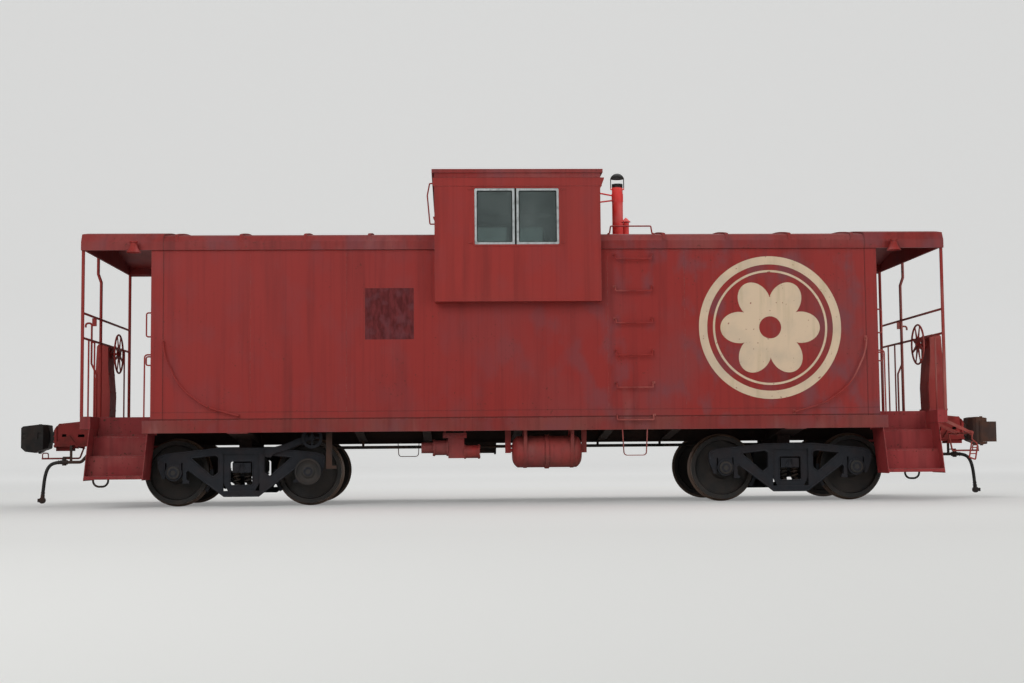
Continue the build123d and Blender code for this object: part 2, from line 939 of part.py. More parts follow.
def seam_cap(x):
    """Low rib over a joint between two roof sheets."""
    return slab_x(
        x - cap_w / 2,
        x + cap_w / 2,
        (eave_half_w, eave_top_z - 2),
        (eave_half_w + 2, eave_top_z + 8),
        (shoulder_half_w + 6, shoulder_z + cap_h),
        (0, crown_z + cap_h, -shoulder_half_w - 6, shoulder_z + cap_h),
        (-eave_half_w - 2, eave_top_z + 8),
        (-eave_half_w, eave_top_z - 2),
        (-shoulder_half_w, shoulder_z - 2),
        (0, crown_z - 2, shoulder_half_w, shoulder_z - 2),
    )


def main_roof():
    roof = slab_x(-porch_roof_x, porch_roof_x, *roof_section(0))
    places = []
    x = first_cap_x
    while x < porch_roof_x - cap_w:
        places += [x, -x]
        x += cap_pitch
    for x in places:
        roof += seam_cap(x)
    cut = cupola_half_len - cupola_wall_t
    low = eave_low_z - 1
    roof -= box(-cut, cut, -eave_half_w - 5, eave_half_w + 5, low, crown_z + 100)
    for side in (-1, 1):
        y0, y1 = sorted((side * body_half_w, side * (eave_half_w + 5)))
        roof -= box(-cupola_half_len, cupola_half_len, y0, y1, low, eave_top_z + 60)
    return roof


def porch_roof():
    sheet = slab_x(porch_roof_x, roof_half_len, *roof_section(porch_rise))
    x0 = roof_half_len - end_fascia_t
    sheet += slab_x(
        x0,
        roof_half_len,
        (inner_half_w + 1, ceiling_side_z + 2),
        (0, crown_z, -inner_half_w - 1, ceiling_side_z + 2),
        (-inner_half_w - 1, wall_top_z),
        (inner_half_w + 1, wall_top_z),
    )
    return sheet


save("roof", main_roof())
save("porch_roofs", porch_roof(), turned(porch_roof()))


# Cupola, wider than the body

def cupola_side():
    face = -cupola_half_w
    inner = face + cupola_wall_t
    low = cupola_low_z
    side = box(-cupola_half_len, cupola_half_len, face, inner, low, cupola_top_z)
    side += box(
        -cupola_half_len, cupola_half_len, inner - 1, -body_half_w, low, low + cupola_floor_t
    )
    side -= box(
        cupola_window_x0, cupola_window_x1, face - 1, inner + 1, cupola_window_z0, cupola_window_z1
    )
    # Post behind the gap between the two sashes
    side += box(
        sash_middle_x - sash_gap / 2, sash_middle_x + sash_gap / 2, inner - 26, inner,
        cupola_window_z0 - 1, cupola_window_z1 + 1,
    )
    # Strip under the roof, longer than the wall, and a bracket at its right end
    end_x = cupola_half_len + cupola_strip_end
    side += box(-end_x, end_x, face - cupola_strip_out, inner, cupola_strip_z, cupola_top_z)
    side += slab_y(
        face,
        face + 14,
        (cupola_half_len - 1, cupola_strip_z - 36),
        (cupola_half_len + 50, cupola_top_z - 18),
        (cupola_half_len + 50, cupola_top_z),
        (cupola_half_len - 1, cupola_top_z),
    )
    return side


def body_outline(gap):
    """The car body's outer section, which the cupola's end walls are cut to."""
    return [
        (body_half_w + gap, floor_low_z),
        (body_half_w + gap, eave_low_z - gap),
        (eave_half_w + gap, eave_low_z - gap),
        (eave_half_w + gap, eave_top_z),
        (shoulder_half_w, shoulder_z + gap),
        (0, crown_z + gap, -shoulder_half_w, shoulder_z + gap),
        (-eave_half_w - gap, eave_top_z),
        (-eave_half_w - gap, eave_low_z - gap),
        (-body_half_w - gap, eave_low_z - gap),
        (-body_half_w - gap, floor_low_z),
    ]


def cupola_end():
    x1 = cupola_half_len
    x0 = x1 - cupola_wall_t
    inner = cupola_half_w - cupola_wall_t
    wall = box(x0, x1, -inner, inner, cupola_low_z + cupola_floor_t, cupola_top_z)
    wall -= slab_x(x0 - 1, x1 + 1, *body_outline(0))
    # The fascia stops short of the cupola, so its notch is filled again
    for side in (-1, 1):
        y0, y1 = sorted((side * body_half_w, side * (eave_half_w + 2)))
        filler = box(x0, x1, y0, y1, eave_low_z - 2, eave_top_z + 60)
        filler -= slab_x(x0 - 1, x1 + 1, *body_outline(0)) & box(
            x0 - 1, x1 + 1, -body_half_w, body_half_w, 0, cupola_crown_z
        )
        wall += filler
    for side in (-1, 1):
        y0, y1 = sorted((side * end_window_y0, side * (end_window_y0 + end_window_w)))
        wall -= box(x0 - 1, x1 + 1, y0, y1, end_window_low_z, end_window_low_z + end_window_h)
    return wall


def cupola_roof():
    top = slab_x(
        -cupola_half_len,
        cupola_half_len,
        (cupola_half_w + cupola_lip, cupola_top_z),
        (cupola_half_w + cupola_lip, cupola_top_z + 8),
        (cupola_half_w - 14, cupola_band_z),
        (cupola_half_w, cupola_band_z),
        (cupola_half_w, cupola_edge_z),
        (0, cupola_crown_z, -cupola_half_w, cupola_edge_z),
        (-cupola_half_w, cupola_band_z),
        (-cupola_half_w + 14, cupola_band_z),
        (-cupola_half_w - cupola_lip, cupola_top_z + 8),
        (-cupola_half_w - cupola_lip, cupola_top_z),
        (-cupola_half_w + cupola_wall_t, cupola_top_z),
        (0, cupola_crown_z - roof_t, cupola_half_w - cupola_wall_t, cupola_top_z),
    )
    # Drip trim across both ends
    for side in (-1, 1):
        x0, x1 = sorted((side * (cupola_half_len - cupola_wall_t), side * (cupola_half_len + cupola_trim)))
        top += slab_x(
            x0,
            x1,
            (cupola_half_w, cupola_band_z),
            (cupola_half_w, cupola_edge_z),
            (0, cupola_crown_z, -cupola_half_w, cupola_edge_z),
            (-cupola_half_w, cupola_band_z),
        )
        x0, x1 = sorted((side * (cupola_half_len - cupola_wall_t), side * cupola_half_len))
        inner = cupola_half_w - cupola_wall_t
        top += box(x0, x1, -inner, inner, cupola_top_z, cupola_band_z + 1)
    return top


def sash(x0, x1, z0, z1, y):
    """Metal sash with a round-cornered opening, in the plane of a side wall."""
    frame = box(x0, x1, y - sash_t / 2, y + sash_t / 2, z0, z1)
    hole = box(x0 + sash_w, x1 - sash_w, y - sash_t, y + sash_t, z0 + sash_w, z1 - sash_w)
    hole = fillet(hole.edges().filter_by(Axis.Y), sash_corner)
    return frame - hole


sash_spans = [
    (cupola_window_x0, sash_middle_x - sash_gap / 2),
    (sash_middle_x + sash_gap / 2, cupola_window_x1),
]
side_pane_y = cupola_half_w - 18


def cupola_sashes():
    y = -side_pane_y
    return [sash(x0, x1, cupola_window_z0, cupola_window_z1, y) for x0, x1 in sash_spans]


def cupola_side_panes():
    y = -side_pane_y
    margin = sash_w - 12
    panes = []
    for x0, x1 in sash_spans:
        panes.append(
            box(
                x0 + margin, x1 - margin, y + sash_t / 2, y + sash_t / 2 + pane_t,
                cupola_window_z0 + margin, cupola_window_z1 - margin,
            )
        )
    return panes


def cupola_end_panes():
    x = cupola_half_len - cupola_wall_t / 2
    panes = []
    for side in (-1, 1):
        y0, y1 = sorted((side * end_window_y0, side * (end_window_y0 + end_window_w)))
        panes.append(
            box(x - pane_t / 2, x + pane_t / 2, y0, y1, end_window_low_z, end_window_low_z + end_window_h)
        )
    return panes


near_sashes = cupola_sashes()
near_panes = cupola_side_panes()
end_panes = cupola_end_panes()
save("cupola_sides", cupola_side(), turned(cupola_side()))
save("cupola_ends", cupola_end(), turned(cupola_end()))
save("cupola_roof", cupola_roof())
save("cupola_sashes", *near_sashes, *[turned(piece) for piece in near_sashes])
save(
    "cupola_panes",
    *near_panes,
    *[turned(pane) for pane in near_panes],
    *end_panes,
    *[turned(pane) for pane in end_panes],
)


# Chimney and vent on the roof

def roof_height(y):
    """Height of the main roof's outer arc at a distance y from the middle."""
    rise = crown_z - shoulder_z
    r = (shoulder_half_w ** 2 + rise ** 2) / (2 * rise)
    return crown_z - r + math.sqrt(r * r - y * y)


def on_roof(shape, x):
    """What is left of a shape above the roof's outer arc, near a place along the car."""
    arch = slab_x(
        x - 400,
        x + 400,
        (shoulder_half_w, shoulder_z),
        (0, crown_z, -shoulder_half_w, shoulder_z),
        (0, shoulder_z - 400),
    )
    return shape - arch


def smoke_jack():
    base = roof_height(0) - 20
    pipe = ring_z(base, jack_top_z, jack_x, 0, jack_r)
    pipe += Pos(jack_x, 0, base + 45) * Cone(jack_r + 60, jack_r, 90)
    pipe -= ring_z(base - 1, jack_top_z + 1, jack_x, 0, jack_r - 5)
    pipe = on_roof(pipe, jack_x)
    dome_r = (jack_cap_r ** 2 + 75 ** 2) / (2 * 75)
    low = jack_cap_z - 75
    bulge = dome_r * math.sin(math.radians(25))
    dome = outline(
        lambda u, v: Vector(jack_x + u, 0, v),
        [
            (0, jack_cap_z),
            (bulge, jack_cap_z - dome_r * (1 - math.cos(math.radians(25))), jack_cap_r, low),
            (jack_cap_r - 6, low),
            (jack_cap_r - 22, low + 8),
            (0, low + 8),
        ],
    )
    cap = revolve(dome, axis=Axis((jack_x, 0, 0), (0, 0, 1)), revolution_arc=360)
    for side in (-1, 1):
        x0, x1 = sorted((side * (jack_cap_r - 10), side * (jack_cap_r - 2)))
        cap += box(jack_x + x0, jack_x + x1, -22, 22, jack_top_z - 70, low + 2)
        x0, x1 = sorted((side * (jack_r - 3), side * (jack_cap_r - 2)))
        cap += box(jack_x + x0, jack_x + x1, -22, 22, jack_top_z - 78, jack_top_z - 70)
    # Two stays: one from the trim of the cupola's roof, one from its end wall
    stays = None
    stay_ends = (
        (cupola_half_len + cupola_trim, cupola_band_z + 29, jack_band_top_z - 20),
        (cupola_half_len, cupola_top_z - 74, jack_band_top_z - 90),
    )
    for face_x, z_wall, z_pipe in stay_ends:
        stay = rod((face_x - 6, 0, z_wall), (jack_x - jack_r, 0, z_pipe), stay_r)
        stay -= box(face_x - 30, face_x, -20, 20, z_wall - 20, z_wall + 20)
        stays = stay if stays is None else stays + stay
    band = ring_z(jack_band_top_z - jack_band_h, jack_band_top_z, jack_x, 0, jack_r + 5, jack_r - 2)
    return pipe + cap + stays + band


def roof_vent():
    base = roof_height(abs(vent_y)) - 12
    pipe = ring_z(base, vent_top_z, vent_x, vent_y, vent_r, vent_r - 4)
    foot = ring_z(base, base + 21, vent_x, vent_y, vent_r + 34, vent_r - 4)
    cap = Pos(vent_x, vent_y, vent_top_z + 45) * Cone(vent_r + 26, 6, 60)
    legs = None
    for angle in (0, 120, 240):
        x = vent_x + (vent_r - 2) * math.cos(math.radians(angle))
        y = vent_y + (vent_r - 2) * math.sin(math.radians(angle))
        leg = rod((x, y, vent_top_z - 20), (x, y, vent_top_z + 20), 4)
        legs = leg if legs is None else legs + leg
    return on_roof(pipe + foot + cap + legs, vent_x)


save("smoke_jack", smoke_jack())
save("roof_vent", roof_vent())


# Grab irons, stirrups and hand rails on the near side; the far side is the same, turned

def grab_irons():
    wall = -body_half_w
    out = wall - rung_out
    pieces = []
    for number in range(rung_count):
        z = rung_top_z - number * rung_pitch
        points = [
            (rung_x0, wall, z + rung_rise),
            (rung_x0, wall - 18, z + rung_rise),
            (rung_x0, out, z),
            (rung_x1, out, z),
            (rung_x1, wall - 18, z + rung_rise),
            (rung_x1, wall, z + rung_rise),
        ]
        pieces.append(bent_rod(points, rung_r, 14))
    # Stirrup below the side sill
    points = [
        (1328, -sill_face_y + 14, sill_low_z + 10),
        (1346, -sill_face_y + 14, 620),
        (1632, -sill_face_y + 14, 620),
        (1650, -sill_face_y + 14, sill_low_z + 10),
    ]
    path = FilletPolyline(*points, radius=45)
    strap = sweep(
        Plane(origin=path @ 0, z_dir=path % 0, x_dir=(0, 1, 0)) * Rectangle(45, 11), path=path
    )
    strap -= box(1300, 1700, -sill_face_y - 20, -sill_face_y + 50, sill_low_z, sill_low_z + 40)
    pieces.append(strap)
    # Grab on the roof above the ladder
    y = -1290
    foot = roof_height(abs(y))
    points = [
        (1190, y, foot + 14),
        (1211, y, foot + 14),
        (1226, y, foot + 110),
        (1752, y, foot + 110),
        (1767, y, foot + 14),
        (1788, y, foot + 14),
    ]
    grab = bent_rod(points, rung_r, 12)
    for x in (1196, 1782):
        grab += on_roof(box(x - 16, x + 16, y - 14, y + 14, foot - 20, foot + 12), x)
    pieces.append(grab)
    return pieces


def side_rail(sign):
    """Curved rail from the body's corner down towards the side sill."""
    wall = -body_half_w
    out = wall - 50
    steps = [
        (165, wall, 2110),
        (165, out, 2110),
        (182, out, 1930),
        (380, out, 1520),
        (720, out, 1270),
        (1120, out, 1162),
        (1120, wall, 1162),
    ]
    points = [(sign * (body_half_len - back), y, z) for back, y, z in steps]
    return bent_rod(points, 10, [12, 600, 700, 700, 12])


def hand_rails():
    pieces = [side_rail(-1), side_rail(1)]
    for sign in (-1, 1):
        x = sign * body_half_len
        y = -body_half_w + 40
        out = sign * 62
        grabs = ((2486, 2180), (1925, 1815))
        for top, low in grabs:
            points = [(x, y, top), (x + out, y, top), (x + out, y, low), (x, y, low)]
            pieces.append(bent_rod(points, 9.5, 25))
        points = [
            (x, y - 12, 1950),
            (x + sign * 80, y - 12, 1950),
            (x + sign * 83, y - 12, 1400),
            (x + sign * 84, y - 12, sill_low_z + 200),
        ]
        pieces.append(bent_rod(points, 10, 38))
    return pieces


def cupola_bow():
    x = -cupola_half_len
    y = -cupola_half_w + cupola_wall_t / 2
    top = cupola_top_z - 71
    points = [
        (x - cupola_strip_end, y, top),
        (x - 59, y, top),
        (x - 89, y, top - 156),
        (x - 57, y, top - 526),
        (x, y, top - 526),
    ]
    return bent_rod(points, 9, 16)


near_grabs = grab_irons()
near_rails = hand_rails()
save("grab_irons", *near_grabs, *[turned(piece) for piece in near_grabs])
save(
    "hand_rails",
    *near_rails,
    *[turned(piece) for piece in near_rails],
    cupola_bow(),
    turned(cupola_bow()),
)


# Eave lamps with bell shades at the four corners

def eave_lamp(sign):
    x = sign * lamp_x
    steps = [
        (0, lamp_top_z),
        (lamp_neck_r + 12, lamp_top_z),
        (lamp_neck_r + 12, lamp_top_z - 16),
        (lamp_neck_r, lamp_top_z - 20),
        (lamp_neck_r, lamp_top_z - 42),
        (lamp_neck_r + 15, lamp_top_z - 82, lamp_r, lamp_low_z),
        (lamp_r - 6, lamp_low_z),
        (lamp_neck_r + 9, lamp_top_z - 88, lamp_neck_r - 6, lamp_top_z - 48),
        (0, lamp_top_z - 48),
    ]
    place = lambda u, v: Vector(x + u, -lamp_y, v)
    shade = revolve(outline(place, steps), axis=Axis((x, -lamp_y, 0), (0, 0, 1)), revolution_arc=360)
    arm_z = lamp_top_z - 31
    shade += rod((x, -lamp_y + 10, arm_z), (x, -eave_half_w, arm_z), 10)
    return shade


near_lamps = [eave_lamp(-1), eave_lamp(1)]
save("eave_lamps", *near_lamps, *[turned(lamp) for lamp in near_lamps])


# End platform and steps, drawn at end B

def step_x(z):
    """Inner edge of the slanted step well at a height."""
    return step_top_x + step_slant * (step_top_z - z)


def platform():
    deck = box(body_half_len, platform_x, -step_in_y, step_in_y, deck_z - deck_t, deck_z)
    deck += box(end_sill_x, platform_x, -body_half_w, body_half_w, end_sill_low_z, deck_z)
    deck -= box(end_sill_x + 20, platform_x - 20, -body_half_w + 20, body_half_w - 20,
                end_sill_low_z - 1, deck_z - deck_t)
    deck -= box(end_sill_x - 1, platform_x + 1, -sill_half_w, sill_half_w, 0, floor_low_z)
    for side in (-1, 1):
        y0, y1 = sorted((side * sill_half_w, side * lip_y))
        deck += box(body_half_len, body_half_len + 20, y0, y1, sill_low_z + 20, deck_z - deck_t + 1)
        y0, y1 = sorted((side * (step_in_y - 20), side * step_in_y))
        deck += box(body_half_len + 10, end_sill_x + 1, y0, y1, riser_low_z, deck_z - deck_t + 1)
        # Gusset from the striker back to the end sill
        y0, y1 = sorted((side * (sill_half_w - 20), side * sill_half_w))
        deck += slab_y(
            y0,
            y1,
            (platform_x, floor_low_z),
            (striker_x - striker_t - 60, floor_low_z),
            (platform_x, deck_z - 4),
        )
    # Foot of the brake stand on the side opposite to the jog pipe
    y0 = -stand_y - stand_w / 2 - 20
    y1 = -stand_y + stand_w / 2 + 20
    foot_x = platform_x + 252
    deck += box(platform_x, foot_x, y0, y1, stand_low_z - 25, stand_low_z)
    deck += box(platform_x, platform_x + 12, y0, y1, deck_z - 150, stand_low_z)
    for y in (y0, y1 - 12):
        deck += slab_y(
            y,
            y + 12,
            (platform_x + 6, stand_low_z - 24),
            (foot_x - 6, stand_low_z - 24),
            (platform_x + 6, deck_z - 150),
        )
    return deck


def step_well():
    """Near corner of end B: two slanted side plates, treads and risers."""
    x_at = step_x
    wide = step_w
    low = step_low_z
    plates = None
    for offset, top in ((0, sill_low_z), (wide - step_plate_t, end_sill_low_z)):
        plate = slab_y(
            -step_out_y,
            -step_in_y,
            (x_at(low) + offset, low),
            (x_at(low) + offset + step_plate_t, low),
            (x_at(top) + offset + step_plate_t, top),
            (x_at(top) + offset, top),
        )
        plates = plate if plates is None else plates + plate
    inner = step_plate_t - 1
    for number in range(tread_count):
        top = deck_z - tread_rise * (number + 1) + 10
        y0 = -step_in_y - tread_depth * (number + 1)
        y1 = -step_in_y - tread_depth * number
        bottom = top - tread_t
        plates += slab_y(
            y0,
            y1,
            (x_at(bottom) + inner, bottom),
            (x_at(bottom) + wide - inner, bottom),
            (x_at(top) + wide - inner, top),
            (x_at(top) + inner, top),
        )
        # Nosing at the tread's outer edge and the riser behind it
        nose = bottom - 24
        plates += slab_y(
            y0,
            y0 + 10,
            (x_at(nose) + inner, nose),
            (x_at(nose) + wide - inner, nose),
            (x_at(top) + wide - inner, top),
            (x_at(top) + inner, top),
        )
        rise_top = min(bottom + tread_rise, sill_low_z - 4)
        if number > 0:
            rise_top = bottom + tread_rise
        plates += slab_y(
            y1 - 10,
            y1,
            (x_at(bottom) + inner, bottom),
            (x_at(bottom) + wide - inner, bottom),
            (x_at(rise_top) + wide - inner, rise_top),
            (x_at(rise_top) + inner, rise_top),
        )
    return plates


near_steps = step_well()
save("platform_b", platform())
save("platform_a", turned(platform()))
save("steps_b", near_steps, far_side(near_steps))
save("steps_a", turned(near_steps), turned(far_side(near_steps)))


# End railing, drawn at end B

def railing():
    rail = None
    parts = []
    for side in (-1, 1):
        parts.append(rod((post_x, side * post_y, deck_z), (post_x, side * post_y, wall_top_z), post_r))
    for z in (upper_rail_z, lower_rail_z):
        parts.append(rod((post_x, -post_y, z), (post_x, post_y, z), rail_r))
    for y in baluster_places:
        parts.append(rod((post_x, y, deck_z), (post_x, y, lower_rail_z), baluster_r))
    jog = [
        (post_x, jog_y, deck_z),
        (post_x, jog_y, jog_low_z),
        (jog_x, jog_y, jog_top_z),
        (jog_x, jog_y, jog_end_z),
    ]
    parts.append(bent_rod(jog, post_r - 1, 30))
    parts.append(box(roof_half_len, jog_x, jog_y - 14, jog_y + 14, jog_end_z - 45, jog_end_z - 15))
    for part in parts:
        rail = part if rail is None else rail + part
    return rail


def cane_pipe():
    """Whistle pipe outside the railing, with a hooked top and a clamp on each rail."""
    top = upper_rail_z - 66
    points = [
        (post_x, cane_y, deck_z),
        (post_x, cane_y, 1740),
        (cane_x, cane_y, 1890),
        (cane_x, cane_y, top),
        (cane_x + 80, cane_y, top),
        (cane_x + 80, cane_y, top - 56),
    ]
    pipe = bent_rod(points, cane_r, 32)
    pipe += box(post_x, cane_x, cane_y - 8, cane_y + 8, lower_rail_z - 12, lower_rail_z + 12)
    pipe += box(post_x + 4, cane_x - 4, cane_y - 6, cane_y + 6, top - 40, upper_rail_z)
    return pipe


def brake_stand():
    y0 = -stand_y - stand_w / 2
    y1 = -stand_y + stand_w / 2
    stand = slab_y(
        y0,
        y1,
        (platform_x + 40, stand_top_z - 30),
        (platform_x + 70, stand_top_z),
        (platform_x + 175, stand_top_z),
        (platform_x + 195, stand_top_z - 30),
        (platform_x + 240, stand_low_z),
        (platform_x + 15, stand_low_z),
        (platform_x + 6, 1500),
        (platform_x + 40, 1900),
    )
    bore = wheel_shaft_r + shaft_gap
    stand -= rod(
        (platform_x + 30, -stand_y, wheel_z), (platform_x + 120, -stand_y, wheel_z), bore
    )
    stand += ring_x(platform_x + 24, platform_x + 55, -stand_y, wheel_z, 60, bore)
    return stand


def brake_wheel():
    """Rim of twelve-sided section, flat tapered spokes that meet in a star, hub and shaft."""
    reach = wheel_r - wheel_rim_r
    sides = 12
    section = []
    for number in range(sides):
        angle = 2 * math.pi * number / sides
        x = wheel_x + wheel_rim_r * math.cos(angle)
        section.append((x, wheel_z + reach + wheel_rim_r * math.sin(angle)))
    axis = Axis((wheel_x, -stand_y, wheel_z), (1, 0, 0))
    wheel = revolve(outline(on_y(-stand_y), section), axis=axis, revolution_arc=360)
    hub = ring_x(wheel_x - 14, wheel_x + 27, -stand_y, wheel_z, 42)
    hub += ring_x(wheel_x, platform_x + 80, -stand_y, wheel_z, wheel_shaft_r)
    spoke = slab_x(
        wheel_x - spoke_t / 2,
        wheel_x + spoke_t / 2,
        (-stand_y - spoke_root_w / 2, wheel_z + 30),
        (-stand_y - spoke_root_w / 2, wheel_z + 72),
        (-stand_y - spoke_tip_w / 2, wheel_z + reach),
        (-stand_y + spoke_tip_w / 2, wheel_z + reach),
        (-stand_y + spoke_root_w / 2, wheel_z + 72),
        (-stand_y + spoke_root_w / 2, wheel_z + 30),
    )
    for number in range(spoke_count):
        hub += spoke.rotate(axis, 360 * (number + 0.5) / spoke_count)
    return wheel + hub


end_railing = railing() + cane_pipe()
save("railing_b", end_railing)
save("railing_a", turned(end_railing))
save("brake_stands", brake_stand(), turned(brake_stand()))
save("brake_wheel_b", brake_wheel())
save("brake_wheel_a", turned(brake_wheel()))


# Couplers and knuckles, drawn at end B

knuckle_pin_x = knuckle_face_x - 205
knuckle_pin_y = -118.0
head_back_x = knuckle_face_x - head_len


def head_profile():
    """Side view of the coupler's head, as a slab wider than the head."""
    face = knuckle_face_x
    return slab_y(
        -400,
        400,
        (head_back_x, shank_top_z),
        (face - 371, 1088),
        (face - 285, head_top_z),
        (face - 70, 1075),
        (face - 30, 1040),
        (face - 30, 800),
        (face - 100, 735),
        (face - 220, head_low_z),
        (face - 270, 750),
        (face - 370, 780),
        (head_back_x, shank_low_z),
    )


def coupler():
    low = coupler_z - knuckle_half_h
    high = coupler_z + knuckle_half_h
    body = box(
        coupler_pivot_x, head_back_x + 25, -shank_half_w, shank_half_w, shank_low_z, shank_top_z
    )
    body += ring_z(shank_low_z, shank_top_z, coupler_pivot_x, 0, shank_half_w)
    body -= ring_z(shank_low_z - 1, shank_top_z + 1, coupler_pivot_x, 0, pivot_pin_r + pin_gap)
    face = knuckle_face_x
    head = slab_z(
        head_low_z - 1,
        head_top_z + 1,
        (head_back_x, -90),
        (head_back_x, 90),
        (face - 320, 175),
        (face - 200, 205),
        (face - 110, 232),
        (face - 52, 236),
        (face - 38, 205, face - 60, 178),
        (face - 190, 96),
        (face - 250, 40, face - 240, -30),
        (face - 225, -60, face - 262, -185),
        (face - 300, -205),
        (face - 340, -170),
    )
    for z0, z1 in ((head_low_z, low - 1), (high + 1, head_top_z)):
        lug = ring_z(z0, z1, knuckle_pin_x, knuckle_pin_y, 76)
        lug += box(knuckle_pin_x - 100, knuckle_pin_x, knuckle_pin_y - 70, knuckle_pin_y + 70, z0, z1)
        head += lug
    body += head & head_profile()
    # Cored pockets in the side of the guard arm
    for back, front, y, z0, z1 in head_pockets:
        body -= box(face - back, face - front, y, y + 60, z0, z1)
    body += ring_z(head_low_z - 12, head_top_z + 8, knuckle_pin_x, knuckle_pin_y, knuckle_pin_r)
    return body


def knuckle():
    low = coupler_z - knuckle_half_h
    high = coupler_z + knuckle_half_h
    face = knuckle_face_x
    claw = slab_z(
        low,
        high,
        (knuckle_pin_x, knuckle_pin_y - 72),
        (face - 120, knuckle_pin_y - 92),
        (face - 40, knuckle_pin_y - 72),
        (face - 11, knuckle_pin_y - 46, face, knuckle_pin_y - 8),
        (face, -26),
        (face - 13.5, 3, face - 44.5, 11.5),
        (face - 84, -2, face - 100, -36),
        (face - 104, -70),
        (face - 150, -78),
        (face - 190, -50),
        (knuckle_pin_x, knuckle_pin_y + 72),
        (knuckle_pin_x - 72, knuckle_pin_y, knuckle_pin_x, knuckle_pin_y - 72),
    )
    claw -= ring_z(low - 1, high + 1, knuckle_pin_x, knuckle_pin_y, knuckle_pin_r + pin_gap)
    return claw - coupler_head_clearance()


def coupler_head_clearance():
    """Block of the head's own outline, a little larger, so that the knuckle's hub stays clear."""
    face = knuckle_face_x
    return slab_z(
        0,
        2000,
        (head_back_x - 15, -90),
        (head_back_x - 15, 90),
        (face - 188, 98),
        (face - 248, 40, face - 238, -30),
        (face - 223, -60, face - 258, -187),
        (face - 300, -208),
        (face - 340, -172),
    )


save("coupler_b", coupler())
save("coupler_a", turned(coupler()))
save("knuckle_b", knuckle())
save("knuckle_a", turned(knuckle()))


# Reservoir, control valve and brake cylinder under the floor

def reservoir():
    length = tank_x1 - tank_x0
    steps = [
        (tank_x0, 0),
        (tank_x0, 70),
        (tank_x0 + 20, 155, tank_x0 + 70, tank_r),
        (tank_x1 - 70, tank_r),
        (tank_x1 - 20, 155, tank_x1, 70),
        (tank_x1, 0),
    ]
    place = lambda u, v: Vector(u, tank_y, tank_z + v)
    axis = Axis((0, tank_y, tank_z), (1, 0, 0))
    tank = revolve(outline(place, steps), axis=axis, revolution_arc=360)
    flange_x = tank_x0 + length / 2 - 3
    tank += ring_x(flange_x - 20, flange_x + 20, tank_y, tank_z, tank_flange_r)
    # Hanger straps round the shell and up to the floor
    for x in (tank_x0 + 165, tank_x1 - 130):
        tank += ring_x(x - 22, x + 22, tank_y, tank_z, tank_r + 7, tank_r - 3)
        for side in (-1, 1):
            y0, y1 = sorted((tank_y + side * (tank_r - 2), tank_y + side * (tank_r + 8)))
            tank += box(x - 22, x + 22, y0, y1, tank_z, floor_low_z)
    # Flat hangers past both ends
    for x0, x1 in ((tank_x0 - 91, tank_x0 - 16), (tank_x1 + 4, tank_x1 + 71)):
        tank += box(x0, x1, tank_y - 6, tank_y + 6, tank_z - 17, floor_low_z)
        tank += ring_x(min(x1, tank_x1) - 6, max(x0, tank_x0) + 6, tank_y, tank_z + 20, 24)
    return tank


def control_valve():
    y = valve_y
    valve = box(-906, -699, y - 70, y + 70, 600, 862)
    valve += box(-977, -668, y - 110, y + 110, 862, 924)
    for x in (-950, -690):
        valve += box(x - 14, x + 14, y - 60, y + 60, 923, floor_low_z)
    left = ring_x(-1097, -905, y, 737, 96)
    left += ring_x(-1097, -1075, y, 737, 108)
    left += ring_x(-930, -906, y, 737, 108)
    left += ring_x(-1255, -1096, y, 737, 70)
    right = ring_x(-700, -501, y, 683, 84)
    right += ring_x(-520, -501, y, 683, 94)
    right += ring_x(-700, -678, y, 683, 94)
    return valve + left + right


def brake_cylinder():
    y = 620
    z = 820
    cylinder = ring_x(-760, -260, y, z, 160)
    cylinder += ring_x(-790, -758, y, z, 178)
    cylinder += ring_x(-262, -236, y, z, 178)
    cylinder += ring_x(-236, 130, y, z, 20)
    for x in (-700, -360):
        cylinder += box(x - 18, x + 18, y - 120, y + 120, z + 60, floor_low_z)
    return cylinder


save("reservoir", reservoir())
save("control_valve", control_valve())
save("brake_cylinder", brake_cylinder())


# Air hoses, drawn at end B from the angle cock down to the coupling head.
# Their points are distances out from the cock's face, and heights.

hose_points = [
    (0.0, 590.0),
    (93.0, 584.0),
    (165.0, 522.0),
    (200.0, 411.0),
    (216.0, 287.0),
    (226.0, 165.0),
]


def route_from(cock_x):
    return [(cock_x + cock_len + out, pipe_y, z) for out, z in hose_points]


route_a = route_from(cock_x_a)
route_b = route_from(cock_x_b)


# Brake pipe from end to end above the truck bolsters, with its clips and angle cocks

def bearer_low_z(y, low_mid):
    """Height of a cross-bearer's lower edge at a distance y from the middle."""
    share = (abs(y) - sill_half_w) / (lip_y - sill_half_w)
    return low_mid + share * (sill_low_z - low_mid)


